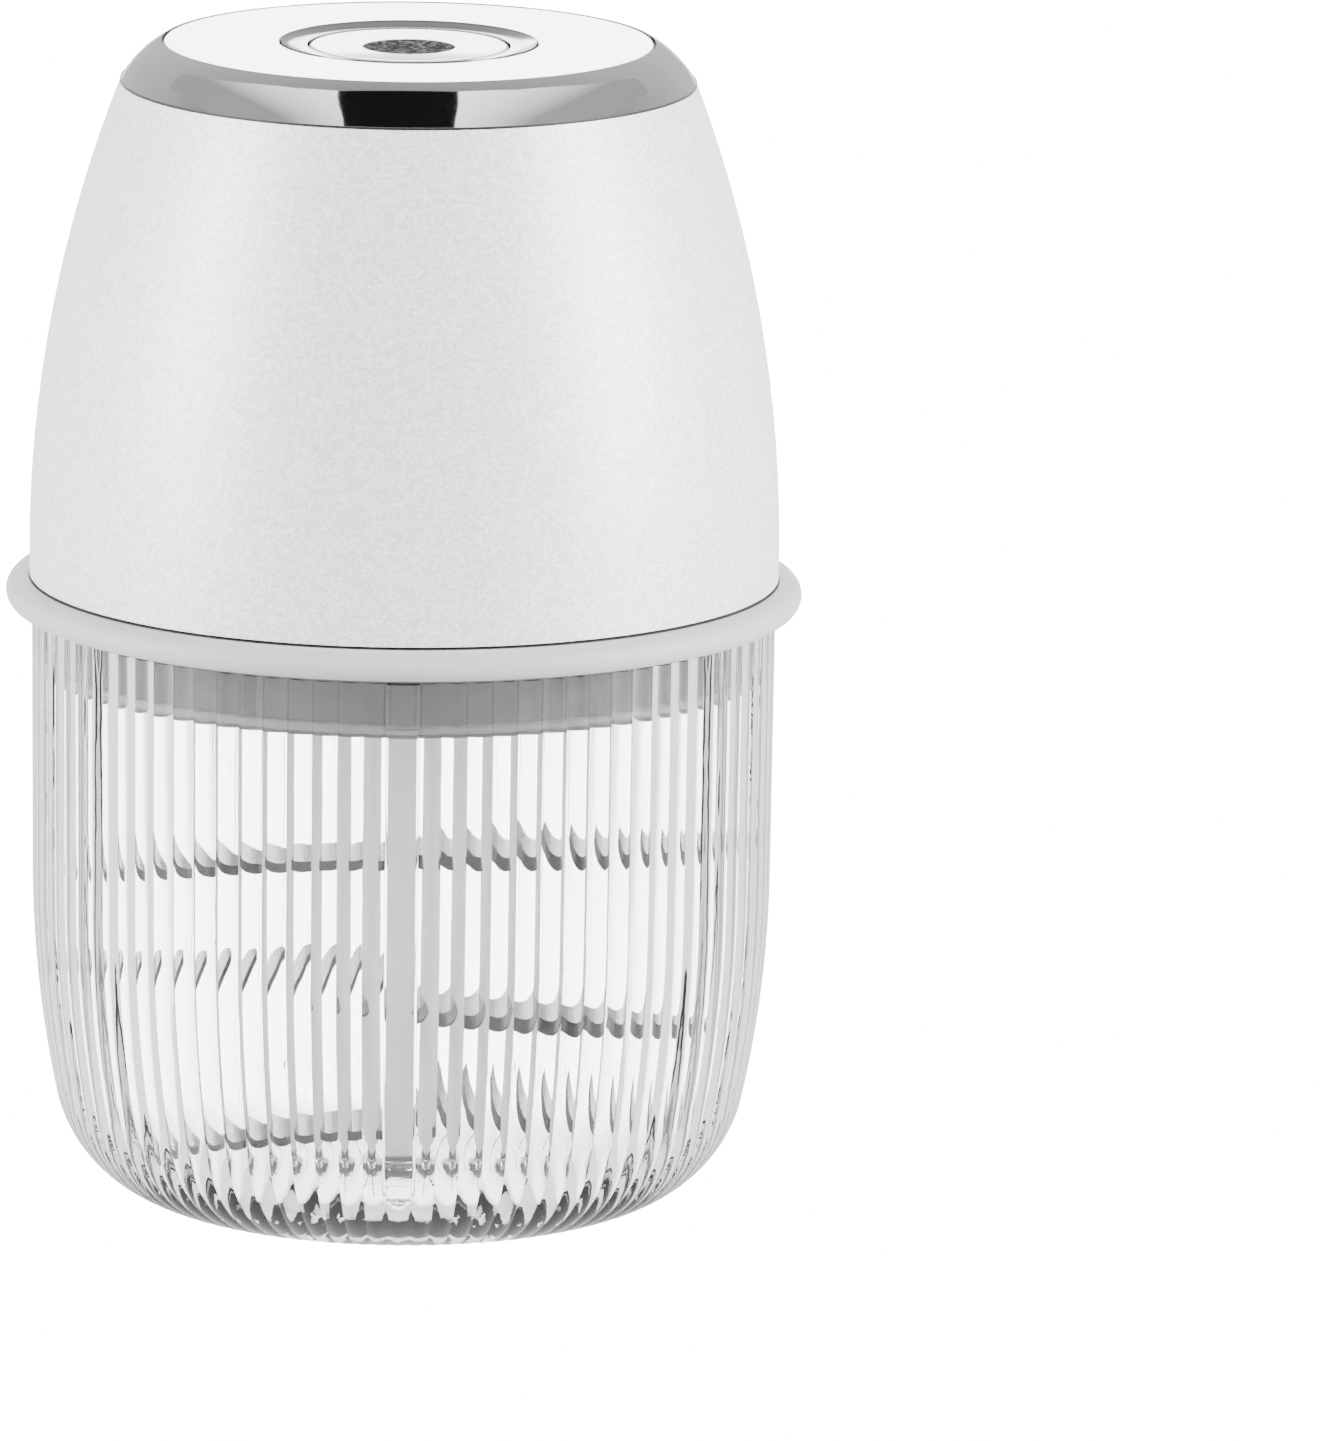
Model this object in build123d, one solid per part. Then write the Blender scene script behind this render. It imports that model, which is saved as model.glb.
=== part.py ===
"""Cordless mini food processor: a reeded glass bowl, a lid with a soft collar, blades, and a motor unit.

Millimetres, +Z up, origin at the middle of the bowl's foot. The front is -Y and the charging socket is at +Y.
The pieces are stacked from the bowl upwards, so each level is worked out from the piece below it.
"""

import math
import os

from build123d import *

# ------------------------------------------------------------------ fits between pieces
RUNNING_FIT = 0.06  # radial, between a shaft and its bush
STATIC_FIT = 0.03  # between pieces fixed to each other
LIFT_FIT = 0.5  # radial, between pieces that lift apart

# ------------------------------------------------------------------ glass bowl
BOWL_RADIUS = 43.0  # over the reeds, at the rim
BOWL_HEIGHT = 71.0
BOWL_WALL = 3.0
BOWL_FLOOR = 4.5
WALL_DRAFT = 0.4  # degrees
BELLY_RADIUS = 130.0
BELLY_TURN = 12.0  # degrees from upright where the belly meets the bottom corner
CORNER_RADIUS = 16.0
REED_COUNT = 90
REED_DEPTH = 0.4
REED_CREST = 0.02  # the wall's outline trims this much off each crest
RIM_BAND = 1.6  # plain band above the reeds
RIM_ROUND = 0.7
FOOT_RECESS_RADIUS = 17.0
FOOT_RECESS_DEPTH = 0.8
BAR_COUNT = 3  # smooth raised bars down the outside
BAR_WIDTH = 3.8
BAR_PROUD = 0.7
BAR_END_Z = 7.9
KEYWAY_WIDTH = 3.0  # slot inside the rim behind each bar
KEYWAY_DEPTH = 1.2
KEYWAY_LENGTH = 7.2
PIN_BOSS_RADIUS = 4.6
PIN_BOSS_HEIGHT = 2.0

# ------------------------------------------------------------------ pivot pin in the bowl
PIN_RADIUS = 2.5
PIN_ENGAGE = 9.0  # length inside the spindle
PIN_FLANGE_RADIUS = 5.6
PIN_FLANGE = 1.2

# ------------------------------------------------------------------ lid, collar, gasket
FLANGE_THICK = 2.4
FLANGE_OVERHANG = 0.4  # past the bowl's reeds
COLLAR_WIDTH = 2.6
COLLAR_DROP = 1.0  # the collar hangs this far below the rim
COLLAR_ROUND = 1.5
COLLAR_RIB = 0.55
SKIRT_FIT = 0.6  # radial, between the skirt and the bowl
SKIRT_WALL = 2.0
SKIRT_DEPTH = 8.4
DISH_DEPTH = 5.4
DISH_FLOOR = 2.0
GASKET_HEIGHT = 1.2
GASKET_DEPTH = 1.0
GASKET_FIT = 0.1
GASKET_RISE = 0.4  # skirt left below the gasket
LUG_RISE = 1.8  # skirt left below the lugs
KEY_COUNT = 3  # keys in the dish that turn the motor unit's torque
KEY_WIDTH = 4.0
KEY_PROUD = 1.2
BUSH_WALL = 1.2
BOSS_WALL = 1.6

# ------------------------------------------------------------------ blades and spindle
HEAD_RADIUS = 7.4
SPINDLE_TAPER = 0.9  # widening from the neck to the foot
SHOULDER = 0.6  # the neck stands out this far below the head
SPINDLE_FOOT_GAP = 0.5
HEAD_LENGTH = 8.2
SOCKET_FLATS = 7.0
SOCKET_DEPTH = 5.8
BLADE_THICK = 1.2
BLADE_ROOT = 5.6  # half width beside the spindle
TIP_CLEAR = 3.5  # between the blade tips and the bowl's wall
LOWER_TIP_CLEAR = 6.6  # the lowest blade also clears the bowl's corner
BEVEL_WIDTH = 2.2
BEVEL_DEPTH = 0.9
LOWER_BLADE_RISE = 3.9  # above the bowl's floor
MIDDLE_BLADE_RISE = 15.2  # above the lower blade
UPPER_BLADE_RISE = 16.2  # above the middle blade
LOWER_BLADE_TURN = 206.0  # degrees, the way one wing points
MIDDLE_BLADE_TURN = -36.0
UPPER_BLADE_TURN = 189.0

# ------------------------------------------------------------------ motor unit: base cover
PLUG_GAP = 1.0  # above the dish floor
PLUG_WALL = 2.0
PLUG_FLOOR = 2.0
COVER_FLANGE = 1.8
SHAFT_SEAL_HEIGHT = 1.4
SHAFT_SEAL_WALL = 2.4
BEARING_LENGTH = 5.0
BEARING_WALL = 1.5
FRAME_POST_INSET = 2.8  # of the posts' middles from the board's edge
FRAME_POST_RADIUS = 3.2
FRAME_POST_ANGLES = (30, 150, 270)
GEAR_FOOT_RADIUS = 3.0
GEAR_FOOT_GAP = 0.6  # between a foot and the gear case
GEAR_FOOT_ANGLES = (90, 210, 330)
GEAR_FOOT_RISE = 3.6

# ------------------------------------------------------------------ screws
BIG_SCREW = 1.25  # shank radius
BIG_HEAD = 2.5
BIG_HEAD_HEIGHT = 1.5
SMALL_SCREW = 1.0
SMALL_HEAD = 1.9
SMALL_HEAD_HEIGHT = 1.1

# ------------------------------------------------------------------ planetary gears
MODULE = 0.6
SUN_TEETH = 12
PLANET_TEETH = 18
PLANET_COUNT = 3
PRESSURE_ANGLE = 20.0
ADDENDUM = 0.85  # in modules
DEDENDUM = 1.2
TOOTH_SLACK = 0.06  # taken off each tooth's thickness
GEAR_WIDTH = 5.8
SHAFT_RADIUS = 4.0  # of the output shaft, in the base bearing
CARRIER_THICK = 2.0
CARRIER_RIM = 3.8
PLANET_PIN_RADIUS = 1.5
GEAR_SIDE_GAP = 0.5
CASE_WALL = 1.8
CASE_FLOOR = 1.4
CASE_ROOF = 1.8

# ------------------------------------------------------------------ motor
MOTOR_RADIUS = 12.2
MOTOR_LENGTH = 30.8
MOTOR_CAN_WALL = 1.0
MOTOR_NOSE_RADIUS = 4.0
MOTOR_NOSE = 1.3
MOTOR_CAP = 3.0
MOTOR_SHAFT_RADIUS = 1.0
MOTOR_SCREW_INSET = 4.2  # of the screws from the can's side
MAGNET_THICK = 2.0
AIR_GAP = 0.3
STACK_LENGTH = 17.0
COMMUTATOR_RADIUS = 4.0

# ------------------------------------------------------------------ batteries
CELL_SIZE = 7.0  # radius, where there is room for it
CELL_LENGTH = 50.0
CELL_GAP = 0.7  # between a cell and the gear case
CELL_CLEAR = 0.15  # between a cell and the housing
CRADLE_WALL = 1.6
CRADLE_GAP = 0.2
CRADLE_RISE = 4.0  # above the gear case
CRADLE_HEIGHT = 22.0

# ------------------------------------------------------------------ housing
HOUSING_GAP = 0.3  # shadow line above the collar
HOUSING_SETBACK = 0.1  # in from the lid's flange
HOUSING_TAPER = 10.2  # narrower at the top than at the base
HOUSING_HEIGHT = 57.6
HOUSING_BULGE = 2.85  # rise of the side above its chord
HOUSING_WALL = 2.2
LEDGE_REACH = 1.3  # the clamping ledge stands this far in from the cover's edge
LEDGE_THICK = 1.6
COVER_EDGE_FIT = 0.1
FRAME_RING_THICK = 2.0
FRAME_RING_GAP = 0.8  # round the cells

# ------------------------------------------------------------------ top: bezel, cover, button
BEZEL_HEIGHT = 4.6
BEZEL_CHAMFER = 4.7  # narrower at its top than the housing
BEZEL_BULGE = 0.45
BEZEL_SPIGOT = 2.0
BEZEL_LEDGE = 1.8
COVER_FIT = 0.2
TOP_COVER_THICK = 1.65
TRIM_RADIUS = 14.7
TRIM_WIDTH = 3.0
TRIM_PROUD = 0.12
TRIM_LIP = 1.8
TRIM_LIP_THICK = 0.8
BUTTON_FIT = 0.2
BUTTON_THICK = 1.9
BUTTON_DISH = 0.25
BUTTON_TRAVEL = 1.2
BUTTON_DROP = 0.45  # below the top edge
SLEEVE_INSET = 1.75  # in from the button's edge
SLEEVE_WALL = 1.4
HOOK_REACH = 0.9
HOOK_THICK = 0.9
HOOK_WIDTH = 5.0
GUIDE_THICK = 1.1
GUIDE_SPACE = 0.3  # left under and round the pressed button
INSERT_RADIUS = 5.3
INSERT_THICK = 0.9
PLUNGER_RADIUS = 1.9
SPRING_RADIUS = 3.4
SPRING_WIRE = 0.25
SPRING_TURNS = 4

# ------------------------------------------------------------------ boards and sockets
BOARD_THICK = 1.6
BOARD_CLEAR = 0.9  # round the control board
BOARD_DROP = 7.3  # below the housing's rim
SWITCH_SIDE = 6.0
SWITCH_HEIGHT = 3.5
SWITCH_TIP = 0.8
SWITCH_CLEAR = 0.1  # left between plunger and tip at full travel
SOCKET_WIDTH = 8.94
SOCKET_HEIGHT = 3.2
SOCKET_LENGTH = 7.4
SOCKET_SHEET = 0.3
SOCKET_SHOW = 0.3  # gap round the socket in the housing
CHARGE_BOARD_WIDTH = 18.0
CHARGE_BOARD_LENGTH = 17.0
CHARGE_BOARD_RISE = 1.7
INTERLOCK_ANGLE = 225
INTERLOCK_RADIUS = 1.2
INTERLOCK_TRAVEL = 1.5
LEAD_RADIUS = 0.7

# ------------------------------------------------------------------ widths that follow from the bowl's
FLANGE_RADIUS = BOWL_RADIUS + FLANGE_OVERHANG
COLLAR_RADIUS = FLANGE_RADIUS + COLLAR_WIDTH
HOUSING_BASE_RADIUS = FLANGE_RADIUS - HOUSING_SETBACK
HOUSING_TOP_RADIUS = HOUSING_BASE_RADIUS - HOUSING_TAPER
BEZEL_TOP_RADIUS = HOUSING_TOP_RADIUS - BEZEL_CHAMFER
BUTTON_RADIUS = TRIM_RADIUS - TRIM_WIDTH - BUTTON_FIT
SLEEVE_RADIUS = BUTTON_RADIUS - SLEEVE_INSET
NECK_RADIUS = HEAD_RADIUS + SHOULDER
SPINDLE_RADIUS = NECK_RADIUS + SPINDLE_TAPER

# ------------------------------------------------------------------ levels, from the bowl upwards
COLLAR_BOTTOM_Z = BOWL_HEIGHT - COLLAR_DROP
SEAM_Z = BOWL_HEIGHT + FLANGE_THICK
DISH_Z = SEAM_Z - DISH_DEPTH
SKIRT_BOTTOM_Z = BOWL_HEIGHT - SKIRT_DEPTH
BOWL_MOUTH = BOWL_RADIUS - BOWL_WALL
SKIRT_RADIUS = BOWL_MOUTH - SKIRT_FIT
DISH_RADIUS = SKIRT_RADIUS - SKIRT_WALL
BAND_RADIUS = BOWL_RADIUS - REED_DEPTH
BUSH_BORE = HEAD_RADIUS + RUNNING_FIT
BOSS_RADIUS = BUSH_BORE + BUSH_WALL + BOSS_WALL
SPINDLE_TOP_Z = DISH_Z + 0.2
SPINDLE_FOOT_Z = BOWL_FLOOR + PIN_BOSS_HEIGHT + SPINDLE_FOOT_GAP
PIN_TOP_Z = SPINDLE_FOOT_Z + PIN_ENGAGE
LOWER_BLADE_Z = BOWL_FLOOR + LOWER_BLADE_RISE
MIDDLE_BLADE_Z = LOWER_BLADE_Z + MIDDLE_BLADE_RISE
UPPER_BLADE_Z = MIDDLE_BLADE_Z + UPPER_BLADE_RISE
BLADE_TIP_RADIUS = BOWL_MOUTH - TIP_CLEAR
LOWER_TIP_RADIUS = BOWL_MOUTH - LOWER_TIP_CLEAR
PLUG_RADIUS = DISH_RADIUS - LIFT_FIT
PLUG_Z = DISH_Z + PLUG_GAP
PLUG_FLOOR_Z = PLUG_Z + PLUG_FLOOR
COVER_TOP_Z = SEAM_Z + COVER_FLANGE
HOUSING_Z = SEAM_Z + HOUSING_GAP
HOUSING_TOP_Z = HOUSING_Z + HOUSING_HEIGHT
COVER_RADIUS = HOUSING_BASE_RADIUS - HOUSING_WALL - COVER_EDGE_FIT
LEDGE_Z = COVER_TOP_Z + STATIC_FIT
FRAME_Z = LEDGE_Z + LEDGE_THICK + STATIC_FIT
FRAME_RING_TOP_Z = FRAME_Z + FRAME_RING_THICK
CASE_Z = PLUG_FLOOR_Z + GEAR_FOOT_RISE
CARRIER_Z = CASE_Z + CASE_FLOOR + 0.4
PLANET_Z = CARRIER_Z + CARRIER_THICK + GEAR_SIDE_GAP
ROOF_Z = PLANET_Z + GEAR_WIDTH + GEAR_SIDE_GAP
MOTOR_Z = ROOF_Z + CASE_ROOF
MOTOR_TOP_Z = MOTOR_Z + MOTOR_LENGTH
CELL_Z = PLUG_FLOOR_Z + 0.2
BOARD_Z = HOUSING_TOP_Z - BOARD_DROP
TOP_Z = HOUSING_TOP_Z + BEZEL_HEIGHT
TOP_COVER_Z = TOP_Z - 0.1 - TOP_COVER_THICK
GUIDE_Z = TOP_COVER_Z - TRIM_LIP_THICK - STATIC_FIT - GUIDE_THICK
BUTTON_TOP_Z = TOP_Z - BUTTON_DROP
BUTTON_UNDER_Z = BUTTON_TOP_Z - BUTTON_THICK
SWITCH_TOP_Z = BOARD_Z + BOARD_THICK + SWITCH_HEIGHT
PLUNGER_Z = SWITCH_TOP_Z + SWITCH_TIP + BUTTON_TRAVEL + SWITCH_CLEAR
SPRING_SEAT_Z = SWITCH_TOP_Z + SWITCH_TIP + 0.1
GUIDE_COLLAR_Z = BUTTON_UNDER_Z - BUTTON_TRAVEL - GUIDE_SPACE
RING_TEETH = SUN_TEETH + 2 * PLANET_TEETH
CENTRE_DISTANCE = MODULE * (SUN_TEETH + PLANET_TEETH) / 2
RING_PITCH_RADIUS = MODULE * RING_TEETH / 2
RING_ROOT_RADIUS = RING_PITCH_RADIUS + DEDENDUM * MODULE
CASE_RADIUS = RING_ROOT_RADIUS + CASE_WALL
GEAR_FOOT_RING = CASE_RADIUS + GEAR_FOOT_RADIUS + GEAR_FOOT_GAP
MOTOR_SCREW_RING = MOTOR_RADIUS - MOTOR_SCREW_INSET
INTERLOCK_RING = COVER_RADIUS - LEDGE_REACH - INTERLOCK_RADIUS - STATIC_FIT - RUNNING_FIT
CHARGE_BOARD_Z = FRAME_RING_TOP_Z + CHARGE_BOARD_RISE
USB_Z = CHARGE_BOARD_Z + BOARD_THICK + SOCKET_HEIGHT / 2
BAR_ANGLES = [270 + 360 / BAR_COUNT * i for i in range(BAR_COUNT)]
KEY_ANGLES = [90 + 360 / KEY_COUNT * i for i in range(KEY_COUNT)]
SEAL_TOP_Z = PLUG_Z + SHAFT_SEAL_HEIGHT
HEAD_SEAT_Z = PLUG_Z + 0.3 + BIG_HEAD_HEIGHT + STATIC_FIT
POST_Z = PLUG_FLOOR_Z + 2.0
COUPLING_FLATS = SOCKET_FLATS - 0.4
COUPLING_Z = SPINDLE_TOP_Z - SOCKET_DEPTH + 0.5
INTERLOCK_HEAD_Z = FRAME_RING_TOP_Z + INTERLOCK_TRAVEL + 0.05
SOCKET_Y = HOUSING_BASE_RADIUS - HOUSING_WALL + 0.5 - SOCKET_LENGTH
CHARGE_BOARD_FAR = SOCKET_Y + SOCKET_LENGTH / 2 - 0.3
INSERT_Z = BUTTON_TOP_Z - BUTTON_DISH - INSERT_THICK


def housing_reach(level, wall):
    """Radius of the housing's side at this level, moved inwards by wall: an arc from base to top."""
    half = math.hypot(HOUSING_TAPER, HOUSING_HEIGHT) / 2
    radius = (half**2 + HOUSING_BULGE**2) / (2 * HOUSING_BULGE)
    inward = radius - HOUSING_BULGE
    centre_r = (HOUSING_BASE_RADIUS + HOUSING_TOP_RADIUS) / 2 - inward * HOUSING_HEIGHT / (2 * half)
    centre_z = (HOUSING_Z + HOUSING_TOP_Z) / 2 - inward * HOUSING_TAPER / (2 * half)
    return centre_r + math.sqrt((radius - wall) ** 2 - (level - centre_z) ** 2)


CELL_REACH = housing_reach(CELL_Z + CELL_LENGTH, HOUSING_WALL) - CELL_CLEAR
CELL_RADIUS = min(CELL_SIZE, (CELL_REACH - CASE_RADIUS - CELL_GAP) / 2)
CELL_RING = CASE_RADIUS + CELL_RADIUS + CELL_GAP
FRAME_RING_INNER = CELL_RING + CELL_RADIUS + FRAME_RING_GAP
BOARD_RADIUS = housing_reach(BOARD_Z + BOARD_THICK, HOUSING_WALL) - BOARD_CLEAR
FRAME_POST_RING = BOARD_RADIUS - FRAME_POST_INSET


# ------------------------------------------------------------------ helpers
def ring(outer, inner, low, high):
    """A plain tube about Z, or a disc where inner is 0."""
    body = Pos(0, 0, low) * extrude(Circle(outer), high - low)
    if inner:
        body -= Pos(0, 0, low) * extrude(Circle(inner), high - low)
    return body


def block(x_low, x_high, y_low, y_high, z_low, z_high):
    """A box by its limits."""
    middle = Pos((x_low + x_high) / 2, (y_low + y_high) / 2, (z_low + z_high) / 2)
    return middle * Box(x_high - x_low, y_high - y_low, z_high - z_low)


def turned(points):
    """A solid of revolution about Z from the corners (radius, height) of its section."""
    section = make_face(Polyline(*[(r, 0, z) for r, z in points], close=True))
    return revolve(section, Axis.Z)


def round_about(angles, radius, make):
    """The solids that make() gives, set on a circle about Z at these angles."""
    return [Rot(0, 0, a) * Pos(radius, 0, 0) * make() for a in angles]


def fuse(pieces):
    """One solid from overlapping pieces."""
    body = pieces[0]
    for piece in pieces[1:]:
        body += piece
    return body


def cut(body, tools):
    """The body without these tools."""
    for tool in tools:
        body -= tool
    return body


def side_arc(start, end, bulge):
    """An arc in the side view between two (radius, height) points, bulging to the left of the way."""
    run, rise = end[0] - start[0], end[1] - start[1]
    chord = math.hypot(run, rise)
    middle = (
        (start[0] + end[0]) / 2 - rise / chord * bulge,
        0,
        (start[1] + end[1]) / 2 + run / chord * bulge,
    )
    return ThreePointArc((start[0], 0, start[1]), middle, (end[0], 0, end[1]))


def on_circle(radius, angle):
    """The point at this angle in degrees."""
    return radius * math.cos(math.radians(angle)), radius * math.sin(math.radians(angle))


# ------------------------------------------------------------------ bowl outline
DRAFT = math.radians(WALL_DRAFT)
TURN = math.radians(BELLY_TURN)
WALL_END_Z = BELLY_RADIUS * (math.sin(TURN) - math.sin(DRAFT)) + CORNER_RADIUS * (1 - math.sin(TURN))
WALL_END_R = BOWL_RADIUS - (BOWL_HEIGHT - WALL_END_Z) * math.tan(DRAFT)
BELLY_CENTRE = (WALL_END_R - BELLY_RADIUS * math.cos(DRAFT), WALL_END_Z + BELLY_RADIUS * math.sin(DRAFT))
CORNER_CENTRE = (
    BELLY_CENTRE[0] + (BELLY_RADIUS - CORNER_RADIUS) * math.cos(TURN),
    BELLY_CENTRE[1] - (BELLY_RADIUS - CORNER_RADIUS) * math.sin(TURN),
)


def arc_about(centre, radius, start, end):
    """A side-view arc about centre, with its angles in radians below the horizontal."""
    marks = [
        (centre[0] + radius * math.cos(a), 0, centre[1] - radius * math.sin(a))
        for a in (start, (start + end) / 2, end)
    ]
    return ThreePointArc(*marks)


def bowl_solid(offset, top):
    """The solid inside the bowl's outer face, moved outwards by offset."""
    belly = arc_about(BELLY_CENTRE, BELLY_RADIUS + offset, DRAFT, TURN)
    corner = arc_about(CORNER_CENTRE, CORNER_RADIUS + offset, TURN, math.pi / 2)
    mouth = BOWL_RADIUS + offset / math.cos(DRAFT) + (top - BOWL_HEIGHT) * math.tan(DRAFT)
    bottom = -offset
    sides = [
        Line((0, 0, top), (mouth, 0, top)),
        Line((mouth, 0, top), belly @ 0),
        belly,
        corner,
        Line(corner @ 1, (0, 0, bottom)),
        Line((0, 0, bottom), (0, 0, top)),
    ]
    return revolve(make_face(Wire(sides)), Axis.Z)


def cavity_solid():
    """The space inside the bowl, up through its mouth, with the rim's inner edge rounded."""
    lean = BOWL_WALL * math.sin(TURN)
    inner_corner = CORNER_RADIUS - (BOWL_FLOOR - lean) / (1 - math.sin(TURN))
    belly = arc_about(BELLY_CENTRE, BELLY_RADIUS - BOWL_WALL, DRAFT, TURN)
    end = belly @ 1
    centre = (end.X - inner_corner * math.cos(TURN), end.Z + inner_corner * math.sin(TURN))
    corner = arc_about(centre, inner_corner, TURN, math.pi / 2)
    above = BOWL_HEIGHT + RIM_ROUND
    sides = [
        Line((0, 0, above), (BOWL_MOUTH + RIM_ROUND, 0, above)),
        Line((BOWL_MOUTH + RIM_ROUND, 0, above), (BOWL_MOUTH + RIM_ROUND, 0, BOWL_HEIGHT)),
        side_arc(
            (BOWL_MOUTH + RIM_ROUND, BOWL_HEIGHT), (BOWL_MOUTH, BOWL_HEIGHT - RIM_ROUND), 0.29 * RIM_ROUND
        ),
        Line((BOWL_MOUTH, 0, BOWL_HEIGHT - RIM_ROUND), belly @ 0),
        belly,
        corner,
        Line(corner @ 1, (0, 0, BOWL_FLOOR)),
        Line((0, 0, BOWL_FLOOR), (0, 0, above)),
    ]
    return revolve(make_face(Wire(sides)), Axis.Z)


def reeded_cone(low, high):
    """A tapering fluted column as wide as the bowl's wall, one rounded reed beside the next."""

    def outline(z):
        crest = BOWL_RADIUS + REED_CREST - (BOWL_HEIGHT - z) * math.tan(DRAFT)
        step = 360 / REED_COUNT
        arcs = []
        for i in range(REED_COUNT):
            marks = [
                (*on_circle(r, 270 + (i + part) * step), z)
                for r, part in ((crest - REED_DEPTH, -0.5), (crest, 0), (crest - REED_DEPTH, 0.5))
            ]
            arcs.append(ThreePointArc(*marks))
        return Wire(arcs)

    return Solid.make_loft([outline(low), outline(high)], ruled=True)


# ------------------------------------------------------------------ bowl pieces
def glass_bowl():
    reed_top = BOWL_HEIGHT - RIM_BAND
    body = bowl_solid(0, reed_top) & reeded_cone(-1.0, reed_top)
    band = ring(BAND_RADIUS, 0, reed_top - 1.0, BOWL_HEIGHT)
    band = fillet(band.edges().group_by(Axis.Z)[-1], RIM_ROUND)
    body = body + band
    bar_face = Pos(0, (BAR_END_Z + reed_top) / 2) * SlotOverall(reed_top - BAR_END_Z, BAR_WIDTH, rotation=90)
    bar_face += Pos(0, reed_top - BAR_WIDTH / 2) * Rectangle(BAR_WIDTH, BAR_WIDTH)
    bar = extrude(Plane.XZ.offset(CORNER_CENTRE[0]) * bar_face, BOWL_RADIUS)
    bar = bar & bowl_solid(BAR_PROUD, BOWL_HEIGHT)
    body = fuse([body] + [Rot(0, 0, a - 270) * bar for a in BAR_ANGLES])
    body -= cavity_solid()
    boss = Pos(0, 0, BOWL_FLOOR - 0.5) * extrude(Circle(PIN_BOSS_RADIUS), PIN_BOSS_HEIGHT + 0.5)
    body += boss
    keyway = block(
        BOWL_MOUTH - 2, BOWL_MOUTH + KEYWAY_DEPTH, -KEYWAY_WIDTH / 2, KEYWAY_WIDTH / 2,
        BOWL_HEIGHT - KEYWAY_LENGTH, BOWL_HEIGHT + 1,
    )
    body = cut(body, [Rot(0, 0, a) * keyway for a in BAR_ANGLES])
    recess = ring(FOOT_RECESS_RADIUS, 0, -1.0, FOOT_RECESS_DEPTH)
    pin_hole = ring(PIN_RADIUS + STATIC_FIT, 0, 0, PIN_TOP_Z)
    flange_hole = ring(
        PIN_FLANGE_RADIUS + STATIC_FIT, 0, 0, FOOT_RECESS_DEPTH + PIN_FLANGE
    )
    return cut(body, [recess, pin_hole, flange_hole])


def pivot_pin():
    tip = 0.8
    low = FOOT_RECESS_DEPTH
    return turned(
        [
            (0, low),
            (PIN_FLANGE_RADIUS, low),
            (PIN_FLANGE_RADIUS, low + PIN_FLANGE),
            (PIN_RADIUS, low + PIN_FLANGE),
            (PIN_RADIUS, PIN_TOP_Z - tip),
            (PIN_RADIUS - tip, PIN_TOP_Z),
            (0, PIN_TOP_Z),
        ]
    )


# ------------------------------------------------------------------ lid pieces
def lid():
    boss_low = SKIRT_BOTTOM_Z
    dish_under = DISH_Z - DISH_FLOOR
    groove_z = BOWL_HEIGHT + FLANGE_THICK / 2
    rib = COLLAR_RIB + STATIC_FIT
    gasket_low = SKIRT_BOTTOM_Z + GASKET_RISE
    gasket_back = SKIRT_RADIUS - GASKET_DEPTH
    body = turned(
        [
            (BUSH_BORE + BUSH_WALL + STATIC_FIT, boss_low),
            (BOSS_RADIUS, boss_low),
            (BOSS_RADIUS, dish_under),
            (DISH_RADIUS, dish_under),
            (DISH_RADIUS, SKIRT_BOTTOM_Z),
            (SKIRT_RADIUS, SKIRT_BOTTOM_Z),
            (SKIRT_RADIUS, gasket_low),
            (gasket_back, gasket_low),
            (gasket_back, gasket_low + GASKET_HEIGHT),
            (SKIRT_RADIUS, gasket_low + GASKET_HEIGHT),
            (SKIRT_RADIUS, BOWL_HEIGHT),
            (FLANGE_RADIUS, BOWL_HEIGHT),
            (FLANGE_RADIUS, groove_z - 0.5 - STATIC_FIT),
            (FLANGE_RADIUS - rib, groove_z - 0.5 - STATIC_FIT),
            (FLANGE_RADIUS - rib, groove_z + 0.5 + STATIC_FIT),
            (FLANGE_RADIUS, groove_z + 0.5 + STATIC_FIT),
            (FLANGE_RADIUS, SEAM_Z),
            (DISH_RADIUS, SEAM_Z),
            (DISH_RADIUS, DISH_Z),
            (BUSH_BORE + BUSH_WALL + STATIC_FIT, DISH_Z),
        ]
    )
    lug = block(
        SKIRT_RADIUS - 0.5, BOWL_MOUTH + KEYWAY_DEPTH - 0.3,
        -KEYWAY_WIDTH / 2 + 0.25, KEYWAY_WIDTH / 2 - 0.25,
        SKIRT_BOTTOM_Z + LUG_RISE, BOWL_HEIGHT + 0.2,
    )
    key = block(
        DISH_RADIUS - KEY_PROUD, DISH_RADIUS + 0.6, -KEY_WIDTH / 2, KEY_WIDTH / 2, DISH_Z - 0.5, SEAM_Z - 0.6
    )
    return fuse([body] + [Rot(0, 0, a) * lug for a in BAR_ANGLES] + [Rot(0, 0, a) * key for a in KEY_ANGLES])


def lid_bush():
    return ring(BUSH_BORE + BUSH_WALL, BUSH_BORE, SKIRT_BOTTOM_Z, DISH_Z)


def lid_gasket():
    low = SKIRT_BOTTOM_Z + GASKET_RISE + STATIC_FIT
    outer = BOWL_MOUTH - SKIRT_DEPTH * math.tan(DRAFT) - GASKET_FIT
    body = ring(outer, SKIRT_RADIUS - GASKET_DEPTH + STATIC_FIT, low, low + GASKET_HEIGHT - 2 * STATIC_FIT)
    return fillet(body.edges().filter_by(GeomType.CIRCLE).sort_by(SortBy.RADIUS)[-2:], 0.5)


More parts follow.
